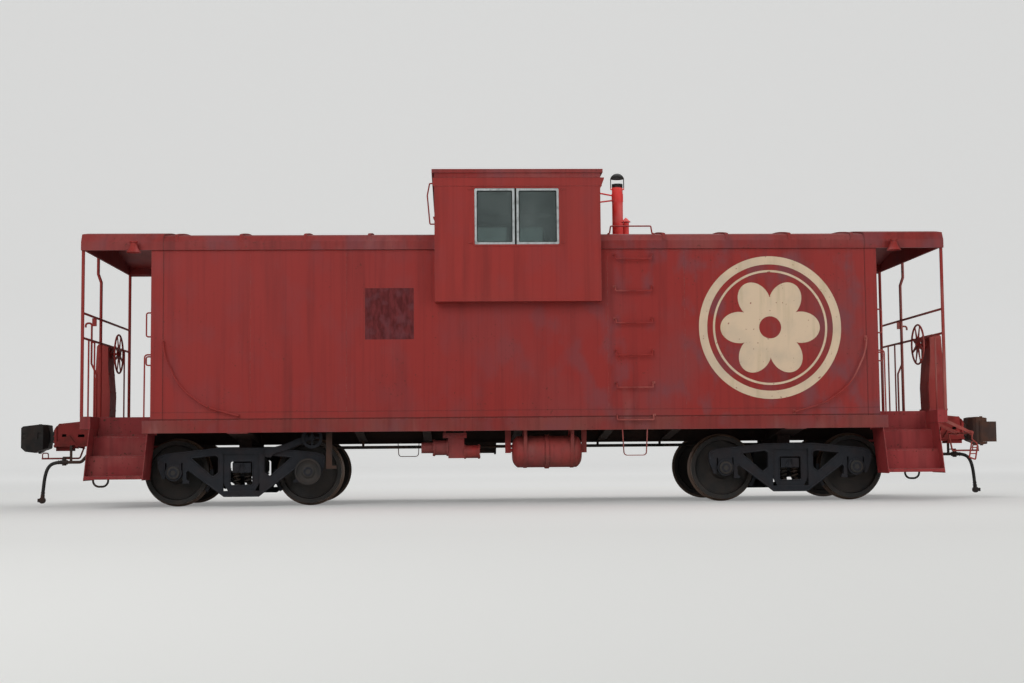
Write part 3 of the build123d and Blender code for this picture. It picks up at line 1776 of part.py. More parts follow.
def brake_pipe():
    points = [
        (-cock_x_a, -pipe_y, cock_z),
        (-cock_x_a + 190, -pipe_y, cock_z),
        (-cock_x_a + 330, -pipe_y, pipe_z),
        (-600, -pipe_y, pipe_z),
        (600, pipe_y, pipe_z),
        (cock_x_b - 330, pipe_y, pipe_z),
        (cock_x_b - 190, pipe_y, cock_z),
        (cock_x_b, pipe_y, cock_z),
    ]
    pipe = bent_rod(points, pipe_r, 60)
    for sign, cock_x, route in ((-1, cock_x_a, route_a), (1, cock_x_b, route_b)):
        y = sign * pipe_y
        for x in bearer_places:
            if x * sign > 0:
                y0 = y - 9
                y1 = y + 9
                pipe += slab_x(
                    x - 16,
                    x + 16,
                    (y0, pipe_z),
                    (y1, pipe_z),
                    (y1, bearer_low_z(y1, bearer_low)),
                    (y0, bearer_low_z(y0, bearer_low)),
                )
        x0, x1 = sorted((sign * (cock_x - 70), sign * (cock_x - 40)))
        y0, y1 = sorted((y - sign * 12, y + sign * 12))
        pipe += box(x0, x1, y0, y1, cock_z, centre_low_z + flange_t)
        y0, y1 = sorted((sign * (sill_half_w + flange_reach), y + sign * 12))
        pipe += box(x0, x1, y0, y1, centre_low_z, centre_low_z + flange_t)
        pipe += angle_cock(sign, cock_x, route)
    return pipe


def angle_cock(sign, cock_x, route):
    y = sign * pipe_y
    x0, x1 = sorted((sign * (cock_x - 10), sign * (cock_x + cock_len - 24)))
    cock = ring_x(x0, x1, y, cock_z, 31)
    start = Vector(*route[0])
    nipple_way = (Vector(*route[1]) - start).normalized()
    nipple = rod(tuple(start - nipple_way * 40), tuple(start), hose_r + 4)
    cock += nipple if sign > 0 else turned(nipple)
    plug_x = sign * (cock_x + 34)
    cock += ring_z(cock_z - 44, cock_z + 62, plug_x, y, 28)
    x0, x1 = sorted((plug_x - sign * 70, plug_x + sign * 20))
    cock += box(x0, x1, y - 11, y + 11, cock_z + 60, cock_z + 76)
    return cock


save("brake_pipe", brake_pipe())


# Air hoses: each corner of the route is an arc that fills its runs

def corner_radii(points):
    radii = []
    for before, here, after in zip(points, points[1:], points[2:]):
        run_in = Vector(*here) - Vector(*before)
        run_out = Vector(*after) - Vector(*here)
        turn = math.radians(run_in.get_angle(run_out))
        radii.append(0.45 * min(run_in.length, run_out.length) / math.tan(turn / 2))
    return radii


def air_hose(route):
    radii = corner_radii(route)
    path = FilletPolyline(*route, radius=radii)
    tube = sweep(Plane(origin=path @ 0, z_dir=path % 0) * Circle(hose_r), path=path)
    section = math.pi * hose_r ** 2
    print("hose radii", [round(r) for r in radii], "length", round(path.length, 1))
    print("hose volume", round(tube.volume), "section times length", round(section * path.length))
    return tube


def gladhand(route):
    end = Vector(*route[-1])
    way = (end - Vector(*route[-2])).normalized()
    neck_end = end + way * 46
    palm = end + way * 78
    hand = rod(tuple(end), tuple(neck_end), hose_r + 4)
    hand += rod(tuple(neck_end - way * 2), tuple(palm), 24)
    hand += rod((palm.X, pipe_y - 22, palm.Z), (palm.X, pipe_y + 20, palm.Z), 42)
    hand += rod((palm.X, pipe_y - 30, palm.Z), (palm.X, pipe_y - 20, palm.Z), 30)
    hand += box(palm.X + 26, palm.X + 66, pipe_y - 22, pipe_y - 8, palm.Z - 24, palm.Z + 24)
    return hand


save("air_hose_b", air_hose(route_b))
save("air_hose_a", turned(air_hose(route_a)))
save("gladhand_b", gladhand(route_b))
save("gladhand_a", turned(gladhand(route_a)))


# Uncoupling levers along the end sills, and the loops that hang below the draft boxes

def uncoupling_lever():
    """Shaft with a hand loop at the car's side, led under the coupler's head."""
    lift_x0 = knuckle_face_x - 324
    lift_x1 = knuckle_face_x - 246
    points = [
        (lever_x, -lever_end_y, lever_z),
        (lever_x, -400, lever_z),
        (lever_x + 70, -330, lever_low_z),
        (lift_x0 - 56, -90, lever_low_z),
        (lift_x1 + 9, -90, lever_low_z),
    ]
    lever = bent_rod(points, lever_r, 34)
    # Handle: a long bent loop with two cross bars
    y = -lever_end_y + 6
    handle = [(0, 870), (-3, 786), (57, 734), (65, 699), (33, 525), (-46, 552), (-8, 760)]
    lever += bent_rod([(lever_x + out, y, z) for out, z in handle], lever_r - 2, 9)
    for z in (600, 680):
        lever += rod((lever_x - 34 + (z - 600) * 0.19, y, z), (lever_x + 47 + (z - 600) * 0.18, y, z), 7)
    # Slim arms that carry the shaft in front of the end sill
    for y in (-1290, -760):
        lever += ring_y(y - 12, y + 12, lever_x, lever_z, 30)
        lever += slab_y(
            y - 6,
            y + 6,
            (platform_x, deck_z - 110),
            (platform_x, deck_z - 150),
            (lever_x - 14, lever_z - 12),
            (lever_x + 4, lever_z + 22),
        )
    # Lifting loop below the coupler's head
    lift = [
        (lift_x0, -90, lever_low_z),
        (lift_x0, -90, 714),
        (lift_x1, -90, 714),
        (lift_x1, -90, lever_low_z),
    ]
    lever += bent_rod(lift, 8, 22)
    return lever


def hanging_loop():
    y = sill_half_w + 22
    x0 = platform_x - 85
    x1 = platform_x + 115
    points = [
        (x0, y, centre_low_z),
        (x0, y, 258),
        (x1, y, 258),
        (x1, y, centre_low_z),
    ]
    return bent_rod(points, 14, 80)


def side_strap():
    """Flat strap hung from the floor beside truck A, its foot turned along the car."""
    strap = box(strap_x, strap_x + strap_w, strap_y, strap_y + strap_t, strap_low_z, floor_low_z)
    foot_x = strap_x + strap_w + 60
    strap += box(strap_x, foot_x, strap_y, strap_y + strap_t, strap_low_z, strap_low_z + 40)
    return strap


save("uncoupling_levers", uncoupling_lever(), turned(uncoupling_lever()))
save("hanging_loops", hanging_loop(), turned(hanging_loop()), side_strap())
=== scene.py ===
"""Steel cupola caboose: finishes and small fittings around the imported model."""
import math

import bpy
import numpy as np
from bpy.props import FloatProperty, FloatVectorProperty, PointerProperty
from mathutils import Matrix


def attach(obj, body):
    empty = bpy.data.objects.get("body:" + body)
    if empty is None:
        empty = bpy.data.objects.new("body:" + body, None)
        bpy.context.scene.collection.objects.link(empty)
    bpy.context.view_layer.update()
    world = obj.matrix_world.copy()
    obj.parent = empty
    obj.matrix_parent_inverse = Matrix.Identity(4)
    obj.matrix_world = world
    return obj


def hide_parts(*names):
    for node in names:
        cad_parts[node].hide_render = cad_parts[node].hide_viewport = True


bl_info = {
    "name": "Caboose finishes and fittings",
    "version": (1, 0, 0),
    "blender": (4, 5, 0),
    "location": "View3D > Sidebar > Caboose",
    "description": "Paint, rust, glass, seams, bolts, springs and hoses of a steel caboose",
    "category": "Object",
}

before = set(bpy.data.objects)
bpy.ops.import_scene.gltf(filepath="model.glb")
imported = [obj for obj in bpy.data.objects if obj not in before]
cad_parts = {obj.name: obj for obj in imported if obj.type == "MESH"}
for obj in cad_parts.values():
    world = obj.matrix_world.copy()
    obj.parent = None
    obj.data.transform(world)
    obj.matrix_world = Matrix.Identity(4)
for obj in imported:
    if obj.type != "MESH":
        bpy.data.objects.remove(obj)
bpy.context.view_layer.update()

BODY = "car_body"
# Outer faces of the side walls and of the cupola's sides
WALL_Y = 1.420
CUPOLA_Y = 1.600
SASH_W = 0.028
# Inner spaces: half length, half width, lowest z, middle of the ceiling and its fall per square metre
CABIN = (4.6015, 1.3415, 0.0, 3.585, 0.0807)
LOOKOUT = (1.0075, 1.5415, 2.64, 4.38, 0.0578)
# Truck centres, half their wheelbase, and the axles
TRUCK_X = 3.580
HALF_BASE = 0.8635
AXLE_Z = 0.445
AXLES = {
    "a1": -TRUCK_X - HALF_BASE, "a2": HALF_BASE - TRUCK_X,
    "b1": TRUCK_X - HALF_BASE, "b2": TRUCK_X + HALF_BASE,
}
CAP_BOLT_RING = 0.045
# Middle line of the reservoir and the control valve
TANK_Y = -1.05
# Middle of the emblem
EMBLEM_X, EMBLEM_Z = 3.268, 2.254
# Directions that the near side and end B face
NEAR = (0, -1, 0)
TO_END_B = (1, 0, 0)
# Focal length in pixels of a picture this wide, and the sensor's width in millimetres
FOCAL_PIXELS = 1493.161
PHOTO_WIDTH = 1024
SENSOR = 36.0


def linear(text):
    """Linear RGBA of an sRGB hex colour."""
    value = np.array([int(text[i : i + 2], 16) for i in (1, 3, 5)]) / 255
    low = value / 12.92
    high = ((value + 0.055) / 1.055) ** 2.4
    return tuple(float(v) for v in np.where(value <= 0.04045, low, high)) + (1.0,)


# Node and material helpers


def add(tree, kind, inputs, **settings):
    """Adds one node, sets its properties, and links each input that is given a socket or sets its value."""
    node = tree.nodes.new("ShaderNode" + kind)
    for key, value in settings.items():
        setattr(node, key, value)
    for key, value in inputs.items():
        if isinstance(value, bpy.types.NodeSocket):
            tree.links.new(value, node.inputs[key])
        else:
            node.inputs[key].default_value = value
    return node


def start(name, roughness, metallic=0.0, gloss=0.5):
    """New material with an output and a shader, and its object coordinates, whole and as x, y and z.

    gloss is the level of the coat's own mirror light: 0.5 for a clean coat, less for a chalky one."""
    material = bpy.data.materials.new(name)
    material.use_nodes = True
    tree = material.node_tree
    tree.nodes.clear()
    values = {"Roughness": roughness, "Metallic": metallic, "Specular IOR Level": gloss}
    shader = add(tree, "BsdfPrincipled", values)
    add(tree, "OutputMaterial", {0: shader.outputs[0]})
    place = add(tree, "TexCoord", {}).outputs["Object"]
    axes = add(tree, "SeparateXYZ", {0: place}).outputs
    return material, tree, shader, place, axes


def pattern(tree, place, cells, detail, cut=None, within=None):
    """Noise with so many cells per metre, alike each way or along x, y and z.

    cut turns it into a share: the low and high end of the noise, and the share at each if not 0 and 1.
    within is a share that the result is multiplied by."""
    if isinstance(cells, tuple):
        place = add(tree, "Mapping", {0: place, "Scale": cells}).outputs[0]
        cells = 1.0
    value = add(tree, "TexNoise", {"Vector": place, "Scale": cells, "Detail": detail}).outputs[0]
    if cut is not None:
        value = add(tree, "MapRange", {0: value, **dict(enumerate(cut, 1))}).outputs[0]
    if within is not None:
        value = add(tree, "Math", {0: value, 1: within}, operation="MULTIPLY").outputs[0]
    return value


def growing(tree, share, axis, low, high, dim, full):
    """A share times a factor that goes from dim to full as a coordinate goes from low to high."""
    factor = add(tree, "MapRange", {0: axis, 1: low, 2: high, 3: dim, 4: full}).outputs[0]
    return add(tree, "Math", {0: share, 1: factor}, operation="MULTIPLY").outputs[0]


def coats(tree, shader, base, layers):
    """Base colour: a paint under layers, each with the share that it covers and its own colour.

    A colour is an sRGB hex or a socket. Numbers after it cut the share as pattern does."""
    colour = linear(base) if isinstance(base, str) else base
    for share, over, *cut in layers:
        if cut:
            share = add(tree, "MapRange", {0: share, **dict(enumerate(cut, 1))}).outputs[0]
        over = linear(over) if isinstance(over, str) else over
        colour = add(tree, "Mix", {0: share, 6: colour, 7: over}, data_type="RGBA").outputs[2]
    tree.links.new(colour, shader.inputs["Base Color"])


def relief(tree, shader, layers):
    """Bump nodes in a row on the shader's normal: each layer is a height, a strength and metres."""
    below = {}
    for height, strength, distance in layers:
        inputs = {"Height": height, "Strength": strength, "Distance": distance, **below}
        below = {"Normal": add(tree, "Bump", inputs).outputs[0]}
    tree.links.new(below["Normal"], shader.inputs["Normal"])


def facing_up(tree):
    """z of the surface's normal, which is 1 on a level top."""
    normal = add(tree, "NewGeometry", {}).outputs["Normal"]
    return add(tree, "SeparateXYZ", {0: normal}).outputs[2]


def worn_edges(tree, place, width, amount):
    """Share of wear on outer edges: how far the rounded normal turns from the true one."""
    bevel = add(tree, "Bevel", {"Radius": width}, samples=4).outputs[0]
    true = add(tree, "NewGeometry", {}).outputs["Normal"]
    turn = add(tree, "VectorMath", {0: bevel, 1: true}, operation="DOT_PRODUCT").outputs["Value"]
    edge = add(tree, "MapRange", {0: turn, 1: 0.985, 2: 0.86, 4: amount}).outputs[0]
    return pattern(tree, place, 34.0, 4.0, (0.42, 0.6), edge)


def inside_share(tree, axes):
    """1 on surfaces that face the cabin or the cupola's inner space, and 0 elsewhere.

    A point is under the arched ceiling where z + fall * y^2 is less than the ceiling's middle."""
    x, y = (add(tree, "Math", {0: axis}, operation="ABSOLUTE").outputs[0] for axis in axes[:2])
    square = add(tree, "Math", {0: axes[1], 1: axes[1]}, operation="MULTIPLY").outputs[0]
    spaces = []
    for half_length, half_width, low, ceiling, fall in (CABIN, LOOKOUT):
        height = add(tree, "Math", {0: square, 1: fall, 2: axes[2]}, operation="MULTIPLY_ADD").outputs[0]
        inside = 1.0
        for value, limit, test in (
            (x, half_length, "LESS_THAN"), (y, half_width, "LESS_THAN"),
            (axes[2], low, "GREATER_THAN"), (height, ceiling, "LESS_THAN"),
        ):
            passed = add(tree, "Math", {0: value, 1: limit}, operation=test).outputs[0]
            inside = add(tree, "Math", {0: inside, 1: passed}, operation="MULTIPLY").outputs[0]
        spaces.append(inside)
    return add(tree, "Math", dict(enumerate(spaces)), operation="MAXIMUM").outputs[0]


def dirt_line(tree, axis, at, amount):
    """Share of the dirt where a coordinate's size is near at: full within 4 mm, none beyond 9 mm."""
    size = add(tree, "Math", {0: axis}, operation="ABSOLUTE").outputs[0]
    off = add(tree, "Math", {0: size, 1: at}, operation="SUBTRACT").outputs[0]
    off = add(tree, "Math", {0: off}, operation="ABSOLUTE").outputs[0]
    return add(tree, "MapRange", {0: off, 1: 0.004, 2: 0.009, 3: amount, 4: 0.0}).outputs[0]


# Finishes


def enamel(name, paint, faded, grime, fade=0.5, chips=0.5, edge=0.5, lined=False,
           sheet_wave=0.0, one_sided=False, bloom=0.5):
    """Brushed-on enamel on steel sheet or bar: faded patches, rain streaks, rust chips and dust.

    fade, chips, edge and bloom are the strengths of faded patches, rust chips, worn edges and bloom.
    lined enamel has seams and an inner face, and one_sided enamel is paler towards end B: chalk on the
    car's sides, and painted sunlight on the rails, brake stands and brake wheels."""
    material, tree, shader, place, axes = start(name, 0.55, gloss=0.22)
    patch = pattern(tree, place, 0.85, 6.0)
    patches = add(tree, "MapRange", {0: patch, 1: 0.47, 2: 0.66, 4: fade}).outputs[0]
    clouds = pattern(tree, place, (2.9, 2.9, 1.9), 8.0, (0.5, 0.64, 0.0, bloom))
    # Paler towards end B: chalk on the car's sides, painted sunlight on the rails, brake stands and brake
    # wheels
    if one_sided:
        patches = growing(tree, patches, axes[0], -2.5, 3.5, 0.25, 1.35)
        clouds = growing(tree, clouds, axes[0], -1.0, 2.5, 0.35, 1.5)
    spots = pattern(tree, place, 30.0, 3.0, (0.66, 0.7))
    low = add(tree, "MapRange", {0: axes[2], 1: 1.35, 2: 0.55, 4: 0.45}).outputs[0]
    layers = [
        (patches, faded),
        # Rain streaks about 150 mm wide, and runs of 40 mm
        (pattern(tree, place, (6.5, 6.5, 0.42), 5.0, (0.52, 0.74, 0.0, 0.42)), grime),
        (pattern(tree, place, (26.0, 26.0, 0.5), 3.0, (0.5, 0.7, 0.0, 0.22)), grime),
        # Purple-grey bloom where the gloss has gone
        (clouds, "#784247"),
        # Pale scuffs in the faded patches
        (pattern(tree, place, (3.1, 3.1, 0.8), 6.0, (0.62, 0.72, 0.0, 0.5), patches), "#A06E6A"),
        # Rust chips in loose groups
        (pattern(tree, place, 2.3, 4.0, (0.5, 0.62, 0.0, chips), spots), "#4A2A1E"),
        (worn_edges(tree, place, 0.007, edge), "#8E6A63"),
        # Dust thrown up on what is low
        (pattern(tree, place, 4.0, 5.0, (0.4, 0.7), low), "#5B4A40"),
    ]
    if lined:
        # Dirt in the seams of the corner strips and the low strip
        for axis, at, amount in ((0, 4.524, 0.45), (2, 1.122, 0.7), (2, 1.210, 0.25)):
            layers.append((dirt_line(tree, axes[axis], at, amount), "#35120F"))
        # The inner faces of the cabin carry a dull pale green
        layers.append((inside_share(tree, axes), "#7F8B78"))
    coats(tree, shader, paint, layers)
    rough = add(tree, "MapRange", {0: patch, 1: 0.35, 2: 0.7, 3: 0.42, 4: 0.66}).outputs[0]
    tree.links.new(rough, shader.inputs["Roughness"])
    # Brush marks of 6 mm, and the slack of thin sheet
    bumps = [(pattern(tree, place, 170.0, 2.0), 0.12, 0.0006)]
    if sheet_wave:
        bumps.append((pattern(tree, place, 1.3, 1.0), sheet_wave, 0.012))
    relief(tree, shader, bumps)
    return material


def foundry_iron(name, base, dust, rust, dust_share=0.6, roughness=0.78, ends=None):
    """Sand-cast iron or steel under old dark paint: grainy skin, road dust on top faces, rust.

    ends holds the paints beyond the end sills A and B, if they differ."""
    material, tree, shader, place, axes = start(name, roughness, gloss=0.25)
    layers = []
    if ends:
        size = add(tree, "Math", {0: axes[0]}, operation="ABSOLUTE").outputs[0]
        beyond = add(tree, "MapRange", {0: size, 1: 5.38, 2: 5.46}).outputs[0]
        # Mix of the two end paints; the lighter paint at end B is painted sunlight
        at_b = add(tree, "MapRange", {0: axes[0], 1: -1.0, 2: 1.0}).outputs[0]
        inputs = {0: at_b, 6: linear(ends[0]), 7: linear(ends[1])}
        layers.append((beyond, add(tree, "Mix", inputs, data_type="RGBA").outputs[2]))
    level = add(tree, "MapRange", {0: facing_up(tree), 1: 0.1, 2: 0.95, 3: 0.06, 4: dust_share})
    layers += [
        (pattern(tree, place, 5.0, 6.0, (0.45, 0.62, 0.0, 0.45 if ends else 0.75)), rust),
        (pattern(tree, place, 14.0, 4.0, (0.3, 0.62), level.outputs[0]), dust),
        (worn_edges(tree, place, 0.006, 0.55), dust),
    ]
    coats(tree, shader, base, layers)
    # Casting grit of about 3 mm, drawn coarse so that it shows, and dents of 40 mm
    grit = pattern(tree, place, 320.0, 2.0)
    dents = pattern(tree, place, 26.0, 4.0)
    relief(tree, shader, [(grit, 0.35, 0.0012), (dents, 0.2, 0.004)])
    return material


def rolled_wheel_steel(name, centre_x):
    """Forged wheel and axle steel: dark scaly faces and a rim that the rail has rubbed brown-grey."""
    material, tree, shader, place, _ = start(name, 0.62)
    flattened = {0: place, "Location": (-centre_x, 0, -AXLE_Z), "Scale": (1, 0, 1)}
    from_axle = add(tree, "Mapping", flattened).outputs[0]
    radius = add(tree, "VectorMath", {0: from_axle}, operation="LENGTH").outputs["Value"]
    turns = add(tree, "Math", {0: radius, 1: 260.0}, operation="MULTIPLY").outputs[0]
    rings = add(tree, "Math", {0: turns}, operation="SINE").outputs[0]
    tread = add(tree, "MapRange", {0: radius, 1: 0.4115, 2: 0.4135}).outputs[0]
    coats(tree, shader, "#1A1918", [
        (pattern(tree, place, 6.0, 6.0, (0.42, 0.64)), "#2C241F"),
        # Rings of scale 24 mm apart
        (rings, "#4B423B", -1.0, 1.0, 0.0, 0.12),
        (tread, "#6B5547", 0.0, 1.0, 0.0, 0.75),
        # Hub
        (radius, "#3A3733", 0.13, 0.085, 0.0, 0.35),
    ])
    rough = add(tree, "MapRange", {0: tread, 3: 0.72, 4: 0.42}).outputs[0]
    tree.links.new(rough, shader.inputs["Roughness"])
    relief(tree, shader, [(pattern(tree, place, 210.0, 2.0), 0.25, 0.001)])
    return material


def painted_plywood():
    """Softwood plywood painted dark red: its rotary-cut grain stands up through thin paint."""
    material, tree, shader, place, _ = start("plywood_red_paint", 0.62, gloss=0.2)
    # Short wild grain that leans up the sheet, and finer checks between its figures
    grain = pattern(tree, place, (17.0, 17.0, 5.5), 6.0)
    checks = pattern(tree, place, (70.0, 70.0, 14.0), 3.0)
    coats(tree, shader, "#541719", [
        (grain, "#6C2628", 0.4, 0.6),
        (checks, "#471216", 0.55, 0.68, 0.0, 0.5),
        (pattern(tree, place, 7.0, 5.0, (0.5, 0.66, 0.0, 0.55)), "#6A393F"),
    ])
    relief(tree, shader, [(grain, 0.5, 0.0015), (checks, 0.3, 0.0008)])
    return material


def floor_boards():
    """Tongued fir boards 80 mm wide, worn and dusty, laid along the cabin."""
    material, tree, shader, place, _ = start("fir_floor_boards", 0.75)
    boards = add(tree, "TexBrick", {
        "Vector": place, "Color1": linear("#6A5138"), "Color2": linear("#7C6247"),
        "Mortar": linear("#2A2018"), "Scale": 1.0, "Mortar Size": 0.002, "Brick Width": 2.4,
        "Row Height": 0.08,
    }).outputs
    coats(tree, shader, boards[0], [(pattern(tree, place, 2.0, 5.0, (0.4, 0.7, 0.0, 0.5)), "#8A7C68")])
    grain = pattern(tree, place, (3.0, 90.0, 1.0), 3.0)
    relief(tree, shader, [(boards[1], -0.4, 0.002), (grain, 0.2, 0.001)])
    return material


def mill_aluminium():
    """Extruded window frame of bare aluminium, dulled and streaked by weather."""
    material, tree, shader, place, _ = start("mill_aluminium", 0.42, 0.85)
    drawn = pattern(tree, place, (260.0, 260.0, 9.0), 3.0)
    coats(tree, shader, "#B4BABA", [
        (drawn, "#D2D6D6", 0.35, 0.7),
        (pattern(tree, place, 12.0, 5.0, (0.5, 0.66, 0.0, 0.6)), "#7E8382"),
    ])
    relief(tree, shader, [(drawn, 0.15, 0.0004)])
    return material


def window_glass():
    """Old float glass: clear, faintly green, under a patchy dry film of dust."""
    material, tree, shader, place, _ = start("dusty_float_glass", 0.04)
    shader.inputs["IOR"].default_value = 1.5
    film = pattern(tree, place, 3.0, 6.0, (0.38, 0.75, 0.12, 0.5))
    coats(tree, shader, "#9FB0AE", [(film, "#7C8582")])
    clear = add(tree, "MapRange", {0: film, 3: 0.92, 4: 0.5}).outputs[0]
    tree.links.new(clear, shader.inputs["Transmission Weight"])
    rough = add(tree, "MapRange", {0: film, 1: 0.1, 2: 0.6, 3: 0.03, 4: 0.22}).outputs[0]
    tree.links.new(rough, shader.inputs["Roughness"])
    return material


def hose_rubber():
    """Moulded rubber over fabric: almost black, with a chalky bloom and fine wrap marks."""
    material, tree, shader, place, _ = start("aged_hose_rubber", 0.7)
    bloom = pattern(tree, place, 28.0, 5.0, (0.44, 0.7, 0.0, 0.65))
    coats(tree, shader, "#191817", [(bloom, "#3B3734")])
    relief(tree, shader, [(pattern(tree, place, (160.0, 160.0, 420.0), 2.0), 0.3, 0.001)])
    return material


def sign_paint():
    """Cream sign enamel, stained and thin enough in places for the red to show."""
    material, tree, shader, place, _ = start("cream_sign_enamel", 0.6, gloss=0.3)
    coats(tree, shader, "#DCC3A6", [
        (pattern(tree, place, 2.6, 7.0, (0.46, 0.7, 0.0, 0.65)), "#BFAE98"),
        (pattern(tree, place, (9.0, 9.0, 0.9), 5.0, (0.55, 0.75, 0.0, 0.5)), "#B0A07C"),
        (pattern(tree, place, 24.0, 5.0, (0.67, 0.7, 0.0, 0.8)), "#83342F"),
    ])
    relief(tree, shader, [(pattern(tree, place, 170.0, 2.0), 0.12, 0.0006)])
    return material


def step_plate():
    """Pressed anti-slip plate under dark red enamel: raised studs 25 mm apart on its top faces."""
    material, tree, shader, place, axes = start("pressed_step_plate", 0.6, gloss=0.22)
    top = add(tree, "MapRange", {0: facing_up(tree), 1: 0.7, 2: 0.95}).outputs[0]
    chips = pattern(tree, place, 26.0, 3.0, (0.62, 0.66))
    coats(tree, shader, "#852D2E", [
        (pattern(tree, place, 2.2, 6.0, (0.45, 0.68, 0.0, 0.7)), "#904744"),
        # Painted sunlight: the plates are painted paler towards end B
        (axes[0], "#AE4041", -2.5, 3.5, 0.0, 0.5),
        (pattern(tree, place, (9.0, 9.0, 0.8), 5.0, (0.48, 0.74, 0.0, 0.45)), "#4A1E20"),
        # Trodden dirt on top faces
        (pattern(tree, place, 3.5, 5.0, (0.36, 0.6, 0.2, 0.85), top), "#6D5C53"),
        (pattern(tree, place, 3.1, 4.0, (0.5, 0.6), chips), "#45291D"),
        (worn_edges(tree, place, 0.008, 0.7), "#8C7068"),
    ])
    # Studs stand where waves 25 mm long along x and y are both high, or both low
    waves = []
    for axis in axes[:2]:
        turn = add(tree, "Math", {0: axis, 1: 251.3}, operation="MULTIPLY").outputs[0]
        waves.append(add(tree, "Math", {0: turn}, operation="SINE").outputs[0])
    both = add(tree, "Math", dict(enumerate(waves)), operation="MULTIPLY").outputs[0]
    studs = add(tree, "MapRange", {0: both, 1: 0.3, 2: 0.6}).outputs[0]
    studs = add(tree, "Math", {0: studs, 1: top}, operation="MULTIPLY").outputs[0]
    relief(tree, shader, [(studs, 0.6, 0.002), (pattern(tree, place, 150.0, 2.0), 0.2, 0.0008)])
    return material


def sooted_stack():
    """Stove pipe under red enamel, burnt black on its rain cap, its red painted bright as painted sunlight.
    """
    material, tree, shader, place, axes = start("stove_pipe_enamel", 0.5, gloss=0.3)
    patch = pattern(tree, place, 5.0, 5.0)
    # The soot's edge wanders up and down with the patches
    soot = add(tree, "Math", {0: patch, 1: 0.03, 2: axes[2]}, operation="MULTIPLY_ADD").outputs[0]
    # The red is painted much brighter than the enamel's own, as painted sunlight on the pipe
    coats(tree, shader, "#F84A45", [
        (patch, "#F8716D", 0.45, 0.65),
        (soot, "#15120F", 4.338, 4.352),
    ])
    relief(tree, shader, [(pattern(tree, place, 120.0, 3.0), 0.2, 0.001)])
    return material


# Mesh helpers


def mesh_object(name, points, faces, smooth=True):
    """Object from an array of points and a list of faces."""
    mesh = bpy.data.meshes.new(name)
    mesh.from_pydata(np.asarray(points, float).reshape(-1, 3).tolist(), [], faces)
    mesh.update()
    mesh.polygons.foreach_set("use_smooth", np.full(len(mesh.polygons), smooth))
    obj = bpy.data.objects.new(name, mesh)
    bpy.context.scene.collection.objects.link(obj)
    return obj


def grid_faces(n, m, close_n, close_m):
    """Quads of an n by m grid of points, closed round either way."""
    i = np.arange(n if close_n else n - 1)
    j = np.arange(m if close_m else m - 1)
    i, j = np.meshgrid(i, j, indexing="ij")
    a, b = (i + 1) % n, (j + 1) % m
    return np.stack([i * m + j, a * m + j, a * m + b, i * m + b], -1).reshape(-1, 4)


def volume_sign(points, faces):
    """Sign of the volume that quads enclose: the sum of their corner tetrahedra."""
    p = points[faces]
    first = np.einsum("ij,ij->i", p[:, 0], np.cross(p[:, 1], p[:, 2])).sum()
    second = np.einsum("ij,ij->i", p[:, 0], np.cross(p[:, 2], p[:, 3])).sum()
    return 1 if first + second >= 0 else -1


def swept(points, section, flat, closed=False):
    """Section carried along a path: point + a * side + b * flat, where side is flat x tangent.

    points is (n, 3), section is (m, 2), and flat is the direction that the path's plane faces."""
    if closed:
        along = np.roll(points, -1, 0) - np.roll(points, 1, 0)
    else:
        along = np.gradient(points, axis=0)
    along /= np.linalg.norm(along, axis=1, keepdims=True)
    flat = np.broadcast_to(np.asarray(flat, float), points.shape)
    side = np.cross(flat, along)
    side /= np.linalg.norm(side, axis=1, keepdims=True)
    up = np.cross(along, side)
    grid = points[:, None] + section[None, :, :1] * side[:, None] + section[None, :, 1:] * up[:, None]
    n, m = grid.shape[:2]
    flat_points = grid.reshape(-1, 3)
    faces = grid_faces(n, m, closed, True)
    centre = flat_points.mean(0)
    sign = volume_sign(flat_points - centre, faces)
    if sign < 0:
        faces = faces[:, ::-1]
    faces = faces.tolist()
    if not closed:
        first = list(range(m))
        last = list(range((n - 1) * m, n * m))
        if sign < 0:
            faces += [first, last[::-1]]
        else:
            faces += [first[::-1], last]
    return flat_points, faces


def around(count):
    """Angles spaced evenly over a full turn, without its end."""
    return np.linspace(0, 2 * math.pi, count, endpoint=False)


def circle(centre, radius, angles, axes=(0, 2)):
    """Points centre + r cos t along the first axis + r sin t along the second."""
    points = np.tile(np.asarray(centre, float), (len(angles), 1))
    points[:, axes[0]] += radius * np.cos(angles)
    points[:, axes[1]] += radius * np.sin(angles)
    return points


def round_section(radius, sides=10, squash=1.0):
    """Circle or flattened circle: (r cos t, squash r sin t)."""
    t = around(sides)
    return np.stack([radius * np.cos(t), squash * radius * np.sin(t)], 1)


def bar_section(width, height, edge=0.25):
    """Rectangle with cut corners, centred."""
    w, h = width / 2, height / 2
    c = edge * min(w, h)
    return np.array(
        [(w, h - c), (w - c, h), (c - w, h), (-w, h - c), (-w, c - h), (c - w, -h), (w - c, -h), (w, c - h)]
    )


